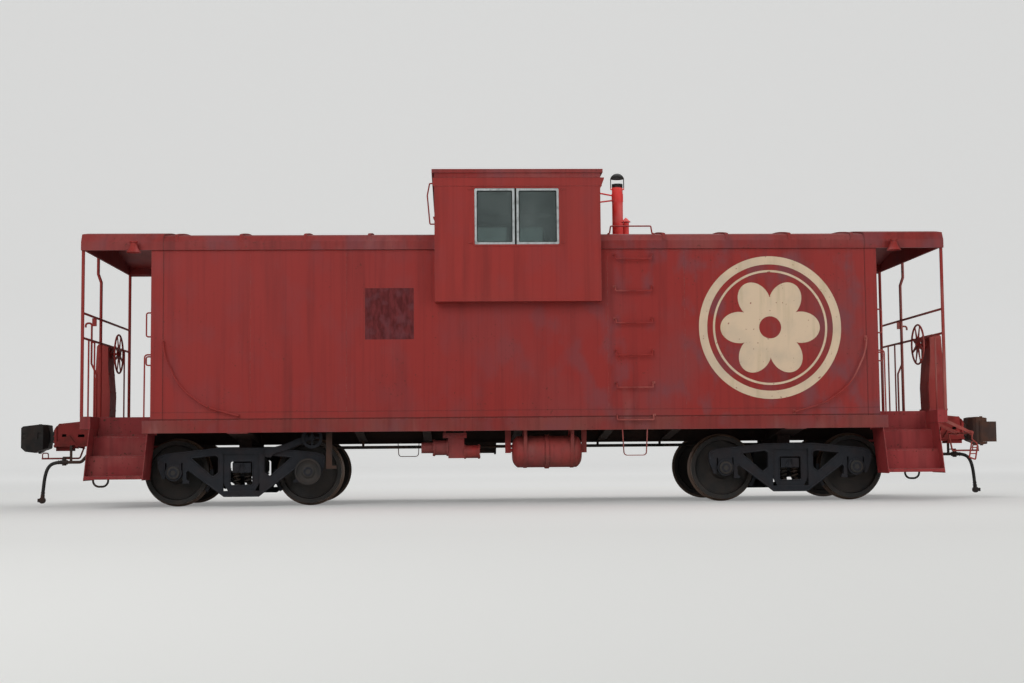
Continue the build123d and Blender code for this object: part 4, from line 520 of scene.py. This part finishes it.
def rounded(corners, reach, closed=False):
    """Path with each corner c replaced by the curve (1-s)^2 a + 2 s (1-s) c + s^2 b.

    a and b lie on the runs before and after the corner, reach metres from it."""
    points = np.asarray(corners, float)
    middle = points if closed else points[1:-1]
    back = (np.roll(points, 1, 0) if closed else points[:-2]) - middle
    ahead = (np.roll(points, -1, 0) if closed else points[2:]) - middle
    back_len = np.linalg.norm(back, axis=1, keepdims=True)
    ahead_len = np.linalg.norm(ahead, axis=1, keepdims=True)
    cut = np.minimum(reach, 0.45 * np.minimum(back_len, ahead_len))
    a = (middle + back / back_len * cut)[:, None]
    b = (middle + ahead / ahead_len * cut)[:, None]
    share = np.linspace(0, 1, 6)[None, :, None]
    curves = (1 - share) ** 2 * a + 2 * share * (1 - share) * middle[:, None] + share**2 * b
    curves = curves.reshape(-1, 3)
    return curves if closed else np.concatenate([points[:1], curves, points[-1:]])


def straight(a, b, count=2):
    """Points along a straight run: a + (b - a) t."""
    t = np.linspace(0, 1, count)[:, None]
    return np.asarray(a, float) * (1 - t) + np.asarray(b, float) * t


def bar(a, b, section, out):
    """Section carried along the straight run from a to b, its second axis towards out."""
    return swept(straight(a, b), section, out)


def frames_for(axes):
    """Two unit vectors square to each axis, by crossing it with the axis it leans on least."""
    axes = np.asarray(axes, float)
    axes = axes / np.linalg.norm(axes, axis=1, keepdims=True)
    helper = np.eye(3)[np.argmin(np.abs(axes), axis=1)]
    u = np.cross(helper, axes)
    u /= np.linalg.norm(u, axis=1, keepdims=True)
    return axes, u, np.cross(axes, u)


def bolt_heads(places, axes, radius, height, sides=6):
    """Heads on shafts' ends: rings of radius r, r, 0.82 r at heights 0, 0.75 h, h round each place."""
    places = np.asarray(places, float)
    axes = np.broadcast_to(np.asarray(axes, float), places.shape)
    a, u, v = frames_for(axes)
    t = around(sides)
    ring = np.cos(t)[:, None, None] * u + np.sin(t)[:, None, None] * v
    ring = ring.transpose(1, 0, 2)
    levels = ((radius, 0.0), (radius, 0.75 * height), (0.82 * radius, height))
    layers = [places[:, None] + r * ring + h * a[:, None] for r, h in levels]
    points = np.stack(layers, 1)
    faces = grid_faces(3, sides, False, True)[:, ::-1]
    size = 3 * sides
    shift = (np.arange(len(places)) * size)[:, None, None]
    quads = (faces[None] + shift).reshape(-1, 4).tolist()
    cap = np.arange(2 * sides, 3 * sides)[None] + shift[:, 0]
    base = np.arange(sides)[::-1][None] + shift[:, 0]
    return points.reshape(-1, 3), quads + cap.tolist() + base.tolist()


def turned_end(shape):
    """The same shape turned half a circle about Z, for the car's other end or side."""
    points, faces = shape
    return points * np.array([-1.0, -1.0, 1.0]), faces


def both_ways(shapes):
    """Shapes of one side and the same ones turned."""
    return list(shapes) + [turned_end(shape) for shape in shapes]


def dress(obj, body, paint):
    """Finish and body of one piece."""
    obj.data.materials.append(finish(paint))
    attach(obj, body)


def fitting(name, shapes, body, paint, smooth=True):
    """One dressed piece from several (points, faces) shapes."""
    points, faces, count = [], [], 0
    for shape_points, shape_faces in shapes:
        points.append(shape_points)
        faces += [[i + count for i in face] for face in shape_faces]
        count += len(shape_points)
    obj = mesh_object(name, np.concatenate(points), faces, smooth)
    dress(obj, body, paint)
    return obj


def cover(nodes, material):
    """A material on CAD nodes."""
    for node in nodes:
        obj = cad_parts[node]
        obj.data.materials.clear()
        obj.data.materials.append(material)


FINISHES = {}


def finish(name):
    """A finish by name, made when it is first asked for."""
    if name not in FINISHES:
        FINISHES[name] = FINISH_MAKERS[name]()
    return FINISHES[name]


def paint_hex(prop):
    """sRGB hex of a colour property, which holds linear values."""
    value = np.clip(np.array(prop[:3]), 0, 1)
    srgb = np.where(value <= 0.0031308, value * 12.92, 1.055 * value ** (1 / 2.4) - 0.055)
    return "#%02X%02X%02X" % tuple(int(round(float(v) * 255)) for v in srgb)


FINISH_MAKERS = {
    # Alkyd enamel on flat plate: satin, chalked purple-grey towards end B
    "body": lambda: enamel(
        "car_side_enamel", paint_hex(bpy.context.scene.caboose_colours.body), "#854040", "#612222",
        fade=0.55, chips=0.6, edge=0.45, lined=True, sheet_wave=0.3, one_sided=True,
    ),
    # The cupola's enamel has kept its colour best
    "cupola": lambda: enamel(
        "cupola_enamel", paint_hex(bpy.context.scene.caboose_colours.cupola), "#8E3F3B", "#6E2624",
        fade=0.35, chips=0.4, edge=0.5, lined=True, sheet_wave=0.25, bloom=0.14,
    ),
    # Roof enamel: flatter and dirtier than the sides
    "roof": lambda: enamel(
        "roof_enamel", "#8A302D", "#8C4A47", "#521F1E", fade=0.8, chips=1.0, edge=0.6, lined=True,
    ),
    # Sill enamel: splashed with dust and rusting at its lower lip
    "sill": lambda: enamel(
        "sill_enamel", "#872E2B", "#85443F", "#541E1C", fade=0.8, chips=1.0, edge=0.7,
    ),
    # Tube and bar enamel: thick, glossy runs of brush paint, its pale pink patches growing towards end B as
    # painted sunlight
    "rail": lambda: enamel(
        "rail_enamel", "#97312C", "#AE6860", "#5C1B1A",
        fade=0.75, chips=0.9, edge=0.3, one_sided=True, bloom=0.2,
    ),
    # The levers are painted paler, with pale pink patches, as painted sunlight on them
    "lever": lambda: enamel(
        "lever_enamel", "#A8443C", "#CF978C", "#6A2421", fade=0.9, chips=0.7, edge=0.4, bloom=0.1,
    ),
    # Enamel of the air brake fittings, dulled by oil and dust
    "air": lambda: enamel(
        "air_fitting_enamel", "#9F3432", "#8F4A45", "#4B2622", fade=0.8, chips=1.0, edge=0.5, bloom=0.3,
    ),
    "steps": step_plate,
    "stack": sooted_stack,
    "plywood": painted_plywood,
    "boards": floor_boards,
    "aluminium": mill_aluminium,
    "glass": window_glass,
    "rubber": hose_rubber,
    "sign": sign_paint,
    # Cast steel of the trucks: dark, dry, with pale road dust
    "truck": lambda: foundry_iron("dusty_cast_steel", "#222429", "#55565B", "#2A2527"),
    # Rolled steel of the underframe: dark red-brown paint, mostly dust
    # Its draft boxes beyond the end sills carry the car's red, painted lighter at end B as painted sunlight
    "frame": lambda: foundry_iron(
        "underframe_steel", "#2A1D1A", "#4E453D", "#3A241B", 0.5, ends=("#822A28", "#A83A37")
    ),
    # Forged and cast coupler steel: brown rust polished dark where it rubs
    "coupler_b": lambda: foundry_iron("rusty_coupler_steel", "#44332E", "#6C5A50", "#5E3B2A", 0.4, 0.66),
    # The other end's coupler, painted near-black as painted shade
    "coupler_a": lambda: foundry_iron("painted_shade_coupler_steel", "#1B1918", "#45403B", "#2E221D", 0.35, 0.5),
    # Spring steel: dark scale with dust between the coils
    "spring": lambda: foundry_iron("spring_steel_scale", "#1F1C1A", "#4C463E", "#38281E", 0.5, 0.6),
    # Malleable iron of the hose couplings
    "gladhand": lambda: foundry_iron("malleable_iron", "#2B2523", "#57504A", "#4B3023", 0.4, 0.6),
}


# Sizes and colours that a user would change


class CabooseColours(bpy.types.PropertyGroup):
    body: FloatVectorProperty(
        name="Car sides", description="Enamel of the car's sides and ends", subtype="COLOR",
        size=4, min=0, max=1, default=linear("#952E2A"),
    )
    cupola: FloatVectorProperty(
        name="Cupola", description="Enamel of the cupola", subtype="COLOR",
        size=4, min=0, max=1, default=linear("#9A322D"),
    )


class CabooseSizes(bpy.types.PropertyGroup):
    emblem: FloatProperty(
        name="Emblem", description="Outer radius of the painted emblem", unit="LENGTH",
        default=0.927, min=0.3, max=1.0,
    )
    bolt: FloatProperty(
        name="Bolt head", description="Radius of the bolt heads", unit="LENGTH",
        default=0.013, min=0.006, max=0.03,
    )
    hose: FloatProperty(
        name="Air hose", description="Outer diameter of the air hoses", unit="LENGTH",
        default=0.046, min=0.03, max=0.06,
    )


# Operators


class CABOOSE_OT_stage(bpy.types.Operator):
    """Camera, lamps, world and the pale floor with its backdrop"""

    bl_idname = "caboose.stage"
    bl_label = "Stage"

    def execute(self, context):
        scene = context.scene
        scene.view_settings.view_transform = "Standard"
        # Camera: right, up and forward vectors turned by yaw, pitch and roll
        yaw, pitch, roll = -0.042, 0.073, 0.009
        right = np.array([math.cos(yaw), math.sin(yaw), 0.0])
        ahead = np.array([-math.sin(yaw), math.cos(yaw), 0.0])
        high = np.array([0.0, 0.0, 1.0])
        view = ahead * math.cos(pitch) + high * math.sin(pitch)
        above = high * math.cos(pitch) - ahead * math.sin(pitch)
        x_axis = right * math.cos(roll) - above * math.sin(roll)
        y_axis = right * math.sin(roll) + above * math.cos(roll)
        matrix = np.eye(4)
        matrix[:3, 0], matrix[:3, 1], matrix[:3, 2] = x_axis, y_axis, -view
        matrix[:3, 3] = (-0.883, -20.537, 0.691)
        data = bpy.data.cameras.new("camera")
        data.sensor_fit = "HORIZONTAL"
        data.sensor_width = SENSOR
        data.lens = FOCAL_PIXELS / PHOTO_WIDTH * SENSOR
        data.clip_end = 300.0
        camera = bpy.data.objects.new("camera", data)
        scene.collection.objects.link(camera)
        camera.matrix_world = Matrix(matrix.tolist())
        scene.camera = camera
        # Floor and backdrop: a flat run, a quarter circle and a wall, carried along x
        reach, radius, wall_y, wall_top = 240.0, 9.0, 55.0, 90.0
        bend = np.linspace(0, math.pi / 2, 24)
        bend_y = wall_y - radius
        y = np.concatenate([[-reach, bend_y], bend_y + radius * np.sin(bend), [wall_y]])
        z = np.concatenate([[0.0, 0.0], radius - radius * np.cos(bend), [wall_top]])
        grid = np.stack(np.broadcast_arrays(np.array([[-reach], [reach]]), y, z), -1)
        stage = mesh_object("floor_and_backdrop", grid, grid_faces(2, len(y), False, False).tolist())
        material, tree, shader, _, axes = start("pale_studio_paper", 0.9, gloss=0.1)
        shader.inputs["Base Color"].default_value = linear("#D9D9D6")
        # Paler to the camera, straight or through a pane, than it is to the lamps
        rays = add(tree, "LightPath", {}).outputs
        seen = {0: rays["Is Camera Ray"], 1: rays["Is Transmission Ray"]}
        seen = add(tree, "Math", seen, operation="MAXIMUM").outputs[0]
        glow = growing(tree, seen, axes[1], -8.0, 22.0, 0.12, 0.47)
        shader.inputs["Emission Color"].default_value = linear("#FFFFFF")
        tree.links.new(glow, shader.inputs["Emission Strength"])
        stage.data.materials.append(material)
        world = bpy.data.worlds.new("soft_world")
        world.use_nodes = True
        background = world.node_tree.nodes["Background"].inputs
        background[0].default_value = (0.97, 0.985, 1.0, 1.0)
        background[1].default_value = 0.34
        scene.world = world
        # Each lamp: its place, what it faces, the side of its square and its power in watts
        lamps = (
            ("key_softbox", (-9.0, -17.0, 11.0), (0.0, 0.0, 2.0), 12.0, 1390.0),
            ("fill_softbox", (13.0, -15.0, 6.0), (1.0, 0.0, 1.6), 10.0, 640.0),
            ("top_softbox", (2.0, 3.0, 14.0), (0.0, 0.0, 3.0), 12.0, 820.0),
        )
        for name, at, aim, size, power in lamps:
            lamp = bpy.data.lights.new(name, "AREA")
            lamp.size = size
            lamp.energy = power
            obj = bpy.data.objects.new(name, lamp)
            scene.collection.objects.link(obj)
            back = np.array(at) - np.array(aim)
            back = back / np.linalg.norm(back)
            side = np.cross([0.0, 0.0, 1.0], back)
            side = side / np.linalg.norm(side)
            turn = np.eye(4)
            turn[:3, 0], turn[:3, 1], turn[:3, 2], turn[:3, 3] = side, np.cross(back, side), back, at
            obj.matrix_world = Matrix(turn.tolist())
        return {"FINISHED"}


class CABOOSE_OT_air_hoses(bpy.types.Operator):
    """Air hoses that hang from the angle cocks, with their clamps"""

    bl_idname = "caboose.air_hoses"
    bl_label = "Air hoses"

    def execute(self, context):
        diameter = context.scene.caboose_sizes.hose
        # The route of the CAD model's hose in metres: distances out from the cock, and heights
        out = np.array([0.0, 0.093, 0.165, 0.200, 0.216, 0.226])
        high = np.array([0.590, 0.584, 0.522, 0.411, 0.287, 0.165])
        for end, sign, start_x in (("b", 1.0, 6.284), ("a", -1.0, 6.075)):
            way = np.stack([sign * (start_x + out), np.full(len(out), sign * 0.330), high], -1)
            data = bpy.data.curves.new(f"hose_{end}", "CURVE")
            data.dimensions = "3D"
            data.resolution_u = 16
            data.bevel_depth = diameter / 2
            data.bevel_resolution = 6
            data.use_fill_caps = True
            spline = data.splines.new("NURBS")
            spline.points.add(len(way) - 1)
            spline.points.foreach_set("co", np.c_[way, np.ones(len(way))].ravel())
            spline.order_u = 3
            spline.use_endpoint_u = True
            hose = bpy.data.objects.new(f"hose_{end}", data)
            context.scene.collection.objects.link(hose)
            dress(hose, BODY, "rubber")
            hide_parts(f"air_hose_{end}")
            # Clamp bands: a flat ring with a screw round the hose near each of its ends
            rings = []
            for at, to in ((way[0], way[1]), (way[-1], way[-2])):
                axis = (to - at) / np.linalg.norm(to - at)
                _, u, v = frames_for([axis])
                t = around(32)[:, None]
                centre = at + axis * 0.022
                loop = centre + (diameter / 2 + 0.0015) * (np.cos(t) * u + np.sin(t) * v)
                rings.append(swept(loop, bar_section(0.003, 0.014), axis, True))
                rings.append(bolt_heads(centre + (diameter / 2 + 0.004) * u, v, 0.004, 0.010))
            clamps = fitting(f"hose_clamps_{end}", rings, BODY, "gladhand")
        cover(["gladhand_a", "gladhand_b"], finish("gladhand"))
        return {"FINISHED"}


class CABOOSE_OT_car_body(bpy.types.Operator):
    """Paint of the walls, doors, roof, cupola and sills, and the boards of the floor"""

    bl_idname = "caboose.car_body"
    bl_label = "Car body"

    def execute(self, context):
        walls = ["side_wall_near", "side_wall_far", "end_wall_a", "end_wall_b", "door_a", "door_b"]
        cover(walls, finish("body"))
        cover(["cupola_sides", "cupola_ends"], finish("cupola"))
        cover(["roof", "porch_roofs", "cupola_roof"], finish("roof"))
        cover(["side_sills"], finish("sill"))
        cover(["window_boards"], finish("plywood"))
        cover(["floor"], finish("boards"))
        cover(["cupola_sashes"], finish("aluminium"))
        cover(["cupola_panes", "end_panes", "door_pane_a", "door_pane_b"], finish("glass"))
        cover(["smoke_jack", "roof_vent"], finish("stack"))
        return {"FINISHED"}


class CABOOSE_OT_ends(bpy.types.Operator):
    """Paint of the platforms, steps, rails, levers, hand brakes, grab irons and lamps"""

    bl_idname = "caboose.ends"
    bl_label = "Ends"

    def execute(self, context):
        cover(["platform_a", "platform_b", "steps_a", "steps_b"], finish("steps"))
        cover(["uncoupling_levers"], finish("lever"))
        cover(
            ["railing_a", "railing_b", "hand_rails", "grab_irons", "eave_lamps",
             "brake_stands", "brake_wheel_a", "brake_wheel_b"],
            finish("rail"),
        )
        return {"FINISHED"}


class CABOOSE_OT_running_gear(bpy.types.Operator):
    """Iron, steel and paint of the trucks, wheels, couplers, underframe and air brake"""

    bl_idname = "caboose.running_gear"
    bl_label = "Running gear"

    def execute(self, context):
        for end in "ab":
            cover([f"truck_frames_{end}", f"truck_bolster_{end}", f"truck_brakes_{end}"], finish("truck"))
            cover([f"coupler_{end}", f"knuckle_{end}"], finish(f"coupler_{end}"))
        for name, x in AXLES.items():
            cover([f"wheelset_{name}"], rolled_wheel_steel(f"forged_wheel_steel_{name}", x))
        cover(["underframe", "brake_cylinder"], finish("frame"))
        cover(["hanging_loops", "brake_pipe"], finish("gladhand"))
        cover(["reservoir", "control_valve"], finish("air"))
        return {"FINISHED"}


class CABOOSE_OT_sheet_seams(bpy.types.Operator):
    """Lapped strips and weld beads on the car's sides, and the trim of the cupola's windows"""

    bl_idname = "caboose.sheet_seams"
    bl_label = "Sheet seams"

    def execute(self, context):
        # Strips: flat bars that stand 2.2 mm proud of the sheet, as wide as the last number says
        proud = 0.0022
        y = -WALL_Y
        strips = [((-4.678, y, 1.1605), (4.678, y, 1.1605), 0.097)]
        strips += [((x, y, 1.2105), (x, y, 3.2835), 0.15) for x in (-4.601, 4.601)]
        strips += [((x0, y, 3.271), (x1, y, 3.271), 0.024) for x0, x1 in ((-4.52, -1.07), (1.07, 4.52))]
        shapes = [bar(a, b, bar_section(width, 2 * proud, 0.6), NEAR) for a, b, width in strips]
        # Weld beads: flattened round bars up the side
        for x in (-3.42, -2.2, 1.16, 2.16):
            shapes.append(bar((x, y, 1.212), (x, y, 3.25), round_section(0.005, 8, 0.3), NEAR))
        fitting("side_seams", both_ways(shapes), BODY, "body", False)
        # Drip rail over the cupola's side windows, the raised rim round them and the rim's four lugs
        face = -CUPOLA_Y
        drip = face - 0.008
        lug_y = face - 0.006
        shapes = [bar((-0.60, drip, 4.077), (0.53, drip, 4.077), bar_section(0.012, 0.018, 0.5), NEAR)]
        x0, x1, z0, z1 = -0.566, 0.543, 3.311, 4.061
        rim = rounded([(x0, face, z0), (x1, face, z0), (x1, face, z1), (x0, face, z1)], 0.035, True)
        shapes.append(swept(rim, bar_section(0.026, 0.012, 0.5), NEAR, True))
        for x in (-0.606, 0.583):
            for z in (3.345, 4.035):
                ends = ((x - 0.024, lug_y, z), (x + 0.024, lug_y, z))
                shapes.append(bar(*ends, bar_section(0.018, 0.012, 0.5), NEAR))
        fitting("cupola_trim", both_ways(shapes), BODY, "cupola", False)
        return {"FINISHED"}


class CABOOSE_OT_window_beads(bpy.types.Operator):
    """Rubber glazing beads in the cupola, door and end windows"""

    bl_idname = "caboose.window_beads"
    bl_label = "Window beads"

    def execute(self, context):
        beads = []
        # Side windows: a loop of round bead inside each sash
        y = -1.5735
        inset = SASH_W + 0.003
        z0, z1 = 3.324 + inset, 4.048 - inset
        for left, right in ((-0.553, -0.039), (-0.014, 0.530)):
            x0, x1 = left + inset, right - inset
            loop = rounded([(x0, y, z0), (x1, y, z0), (x1, y, z1), (x0, y, z1)], 0.018, True)
            beads.append(swept(loop, round_section(0.006, 8), NEAR, True))
        # Weather strip between the two sashes
        strip = ((-0.0265, -1.568, 3.326), (-0.0265, -1.568, 4.046))
        beads.append(bar(*strip, bar_section(0.024, 0.004), NEAR))
        # Cupola end windows and the end wall's window, on their outer faces
        for x, y0, y1, z0, z1 in (
            (1.044, 0.25, 0.89, 3.86, 4.13),
            (1.044, -0.89, -0.25, 3.86, 4.13),
            (4.651, 0.67, 1.09, 2.18, 2.82),
        ):
            loop = rounded([(x, y0, z0), (x, y1, z0), (x, y1, z1), (x, y0, z1)], 0.01, True)
            beads.append(swept(loop, round_section(0.009, 8), TO_END_B, True))
        fitting("window_beads", both_ways(beads), BODY, "rubber")
        # Door windows
        x, y, z0, z1 = 4.6275, 0.19, 2.18, 2.82
        loop = rounded([(x, -y, z0), (x, y, z0), (x, y, z1), (x, -y, z1)], 0.01, True)
        bead = swept(loop, round_section(0.008, 8), TO_END_B, True)
        for end, shape in (("b", bead), ("a", turned_end(bead))):
            fitting(f"door_bead_{end}", [shape], f"door_{end}", "rubber")
        return {"FINISHED"}


class CABOOSE_OT_emblem(bpy.types.Operator):
    """Plain painted emblem on each side: a ring round a six-petalled rosette"""

    bl_idname = "caboose.emblem"
    bl_label = "Emblem"

    def execute(self, context):
        radius = context.scene.caboose_sizes.emblem
        t = around(288)
        # Petals: radius 0.70 (0.60 + 0.40 |cos 3t|^0.8) of the emblem's own
        petals = 0.70 * (0.60 + 0.40 * np.abs(np.cos(3 * t)) ** 0.8)
        y0, y1 = -WALL_Y - 0.0004, -WALL_Y - 0.0010
        shapes = []
        # Each band is a thin closed solid between an inner and an outer polar curve
        for inner, outer in ((0.885, 1.0), (0.775, 0.805), (0.155, petals)):
            loops = [
                circle((EMBLEM_X, y, EMBLEM_Z), radius * r, t)
                for r, y in ((inner, y0), (outer, y0), (outer, y1), (inner, y1))
            ]
            points = np.stack(loops, 1).reshape(-1, 3)
            faces = grid_faces(len(t), len(loops), True, True)
            if volume_sign(points - points.mean(0), faces) < 0:
                faces = faces[:, ::-1]
            shapes.append((points, faces.tolist()))
        fitting("side_emblems", both_ways(shapes), BODY, "sign", False)
        return {"FINISHED"}


class CABOOSE_OT_truck_castings(bpy.types.Operator):
    """Raised lips of the side frames, bolster ribs, cap bolts and coil springs"""

    bl_idname = "caboose.truck_castings"
    bl_label = "Truck castings"

    def execute(self, context):
        # Lips follow the side frame's own outline, 9 mm inside its edge: x from the truck's middle, and z
        top = [(-1.060, 0.560), (-1.052, 0.632), (-0.985, 0.668), (-0.965, 0.684), (-0.315, 0.750)]
        belly = [(-0.700, 0.458), (-0.690, 0.487), (-0.222, 0.138)]
        top, belly = (half + [(-x, z) for x, z in reversed(half)] for half in (top, belly))
        gap = [(0.6555, 0.634), (0.331, 0.669), (0.290, 0.640), (0.290, 0.440), (0.365, 0.382)]
        window = [(-0.146, 0.273), (0.146, 0.273), (0.146, 0.590), (-0.146, 0.590)]
        lip = round_section(0.009, 8, 0.7)
        # Coils: radius and turns constant, height eased at both ends like ground coils
        t = np.linspace(0, 10 * math.pi, 241)
        ease = t / t[-1]
        height = 0.213 + 0.219 * (ease - 0.06 * np.sin(2 * math.pi * ease))
        for end, x0 in (("a", -TRUCK_X), ("b", TRUCK_X)):
            shapes, coils = [], []
            for side in (-1.0, 1.0):
                out = (0, side, 0)

                def path(points, y=1.050):
                    """Points of an outline on one side frame, y metres from the middle of the car."""
                    return np.array([(x0 + x, side * y, z) for x, z in points])

                shapes.append(swept(rounded(path(top), 0.02), lip, out))
                shapes.append(swept(rounded(path(belly), 0.02), lip, out))
                for flip in (-1, 1):
                    loop = path([(flip * x, z) for x, z in gap])
                    shapes.append(swept(rounded(loop, 0.025, True), lip, out, True))
                loop = rounded(path(window, 1.024), 0.03, True)
                shapes.append(swept(loop, round_section(0.009, 8, 0.8), out, True))
                # Slanted ribs on the bolster's end
                for lean in (-1, 1):
                    rib = path([(lean * 0.052, 0.452), (lean * 0.018, 0.545)], 1.015)
                    shapes.append(swept(rib, bar_section(0.022, 0.024, 0.5), out))
                # A raised ring round each bearing box's mouth
                for axle in (-HALF_BASE, HALF_BASE):
                    ring = circle((x0 + axle, side * 1.077, AXLE_Z), 0.101, around(40))
                    shapes.append(swept(ring, round_section(0.006, 8), out, True))
                # Nests of two coils, the inner one wound the other way
                for x in (-0.075, 0.075):
                    for radius, turn, wire in ((0.040, t, (0.0115, 10)), (0.020, -t, (0.006, 8))):
                        coil = circle((x0 + x, side * 0.922, 0.0), radius, turn, (0, 1))
                        coil[:, 2] = height
                        coils.append(swept(coil, round_section(*wire), (0, 0, 1)))
            fitting(f"frame_lips_{end}", shapes, f"truck_{end}", "truck")
            springs = fitting(f"coil_springs_{end}", coils, f"truck_{end}", "spring")
            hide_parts(f"truck_springs_{end}")
        for name, x in AXLES.items():
            heads = []
            for side in (-1.0, 1.0):
                out = (0, side, 0)
                at = circle((x, side * 1.111, AXLE_Z), CAP_BOLT_RING, np.array([0.5, 2.5944, 4.6888]))
                heads.append(bolt_heads(at, out, 0.0135, 0.012))
                # Locking plate: a thin ring under the three heads
                ring = circle((x, side * 1.112, AXLE_Z), CAP_BOLT_RING, around(36))
                heads.append(swept(ring, bar_section(0.03, 0.004), out, True))
            fitting(f"cap_bolts_{name}", heads, f"wheelset_{name}", "truck", False)
        return {"FINISHED"}


class CABOOSE_OT_bolts(bpy.types.Operator):
    """Bolt heads of the grab irons, reservoir, control valve, striker plates and brake stands"""

    bl_idname = "caboose.bolts"
    bl_label = "Bolts"

    def execute(self, context):
        size = context.scene.caboose_sizes.bolt
        # Ladder rungs: a bolt and a pad at each end
        rung_z = 3.148 + 0.061 - 0.415 * np.arange(6)
        rows = []
        for x, out in ((1.262, -1), (1.729, 1)):
            at = [(x + out * 0.020, -WALL_Y - 0.003, z) for z in rung_z]
            rows.append(bolt_heads(at, NEAR, 0.009, 0.009))
            for z in rung_z:
                ends = [(x + half + out * 0.012, -WALL_Y - 0.002, z) for half in (-0.02, 0.02)]
                rows.append(bar(*ends, bar_section(0.030, 0.006), NEAR))
        # Eye plates of the curved side rails
        for x, z in ((-4.515, 2.11), (4.515, 2.11), (-3.56, 1.162), (3.56, 1.162)):
            ends = [(x, -WALL_Y - 0.003, z + half) for half in (-0.032, 0.032)]
            rows.append(bar(*ends, bar_section(0.034, 0.008), NEAR))
            at = [(x, -WALL_Y - 0.006, z + half) for half in (-0.022, 0.022)]
            rows.append(bolt_heads(at, NEAR, 0.007, 0.006))
        fitting("grab_bolts", both_ways(rows), BODY, "rail", False)
        # Reservoir flange: heads on both faces of its ring
        rows = []
        for x, way in ((0.3535, -1), (0.3935, 1)):
            at = circle((x, TANK_Y, 0.677), 0.2125, around(20), (1, 2))
            rows.append(bolt_heads(at, (way, 0, 0), 0.0085, 0.010))
        # Control valve: heads round its round covers and along its pipe bracket
        for x, way, z, ring in ((-1.097, -1, 0.737, 0.098), (-0.501, 1, 0.683, 0.080)):
            at = circle((x, TANK_Y, z), ring, around(8) + 0.2, (1, 2))
            rows.append(bolt_heads(at, (way, 0, 0), size * 0.8, 0.012))
        at = straight((-0.955, -1.16, 0.893), (-0.690, -1.16, 0.893), 5)
        rows.append(bolt_heads(at, NEAR, size, 0.012))
        fitting("air_bolts", rows, BODY, "air", False)
        # Striker plates
        at = [(6.196, y, z) for y in (-0.166, 0.166) for z in (0.81, 0.87, 0.94, 1.01)]
        heads = both_ways([bolt_heads(at, TO_END_B, size, 0.014)])
        fitting("striker_bolts", heads, BODY, "frame", False)
        # Brake stands, whose faces lean, and the nuts of their wheels
        rows = []
        for z in (1.30, 1.55, 1.80):
            x = float(np.interp(z, [1.205, 1.5, 1.9], [5.575, 5.566, 5.6])) + 0.001
            rows.append(bolt_heads([(x, -0.635, z), (x, -0.325, z)], (-1, 0, 0), size, 0.010))
        fitting("brake_stand_bolts", both_ways(rows), BODY, "rail", False)
        shape = bolt_heads([(5.482, -0.48, 2.085)], (-1, 0, 0), 0.024, 0.018)
        for end, shape in (("b", shape), ("a", turned_end(shape))):
            fitting(f"brake_wheel_nut_{end}", [shape], f"brake_wheel_{end}", "rail", False)
        return {"FINISHED"}


STEPS = (
    CABOOSE_OT_stage,
    CABOOSE_OT_air_hoses,
    CABOOSE_OT_car_body,
    CABOOSE_OT_ends,
    CABOOSE_OT_running_gear,
    CABOOSE_OT_sheet_seams,
    CABOOSE_OT_window_beads,
    CABOOSE_OT_emblem,
    CABOOSE_OT_truck_castings,
    CABOOSE_OT_bolts,
)


class CABOOSE_PT_panel(bpy.types.Panel):
    """Sizes, colours and steps of the caboose"""

    bl_idname = "CABOOSE_PT_panel"
    bl_label = "Caboose"
    bl_space_type = "VIEW_3D"
    bl_region_type = "UI"
    bl_category = "Caboose"

    def draw(self, context):
        column = self.layout.column()
        for group in (context.scene.caboose_colours, context.scene.caboose_sizes):
            for name in group.bl_rna.properties.keys():
                if name not in ("rna_type", "name"):
                    column.prop(group, name)
        for step in STEPS:
            column.operator(step.bl_idname)


CLASSES = (CabooseColours, CabooseSizes) + STEPS + (CABOOSE_PT_panel,)


def register():
    for cls in CLASSES:
        bpy.utils.register_class(cls)
    bpy.types.Scene.caboose_colours = PointerProperty(type=CabooseColours)
    bpy.types.Scene.caboose_sizes = PointerProperty(type=CabooseSizes)


def unregister():
    del bpy.types.Scene.caboose_sizes
    del bpy.types.Scene.caboose_colours
    for cls in reversed(CLASSES):
        bpy.utils.unregister_class(cls)


def main():
    register()
    for step in STEPS:
        group, name = step.bl_idname.split(".")
        getattr(getattr(bpy.ops, group), name)()


if __name__ == "__main__":
    main()
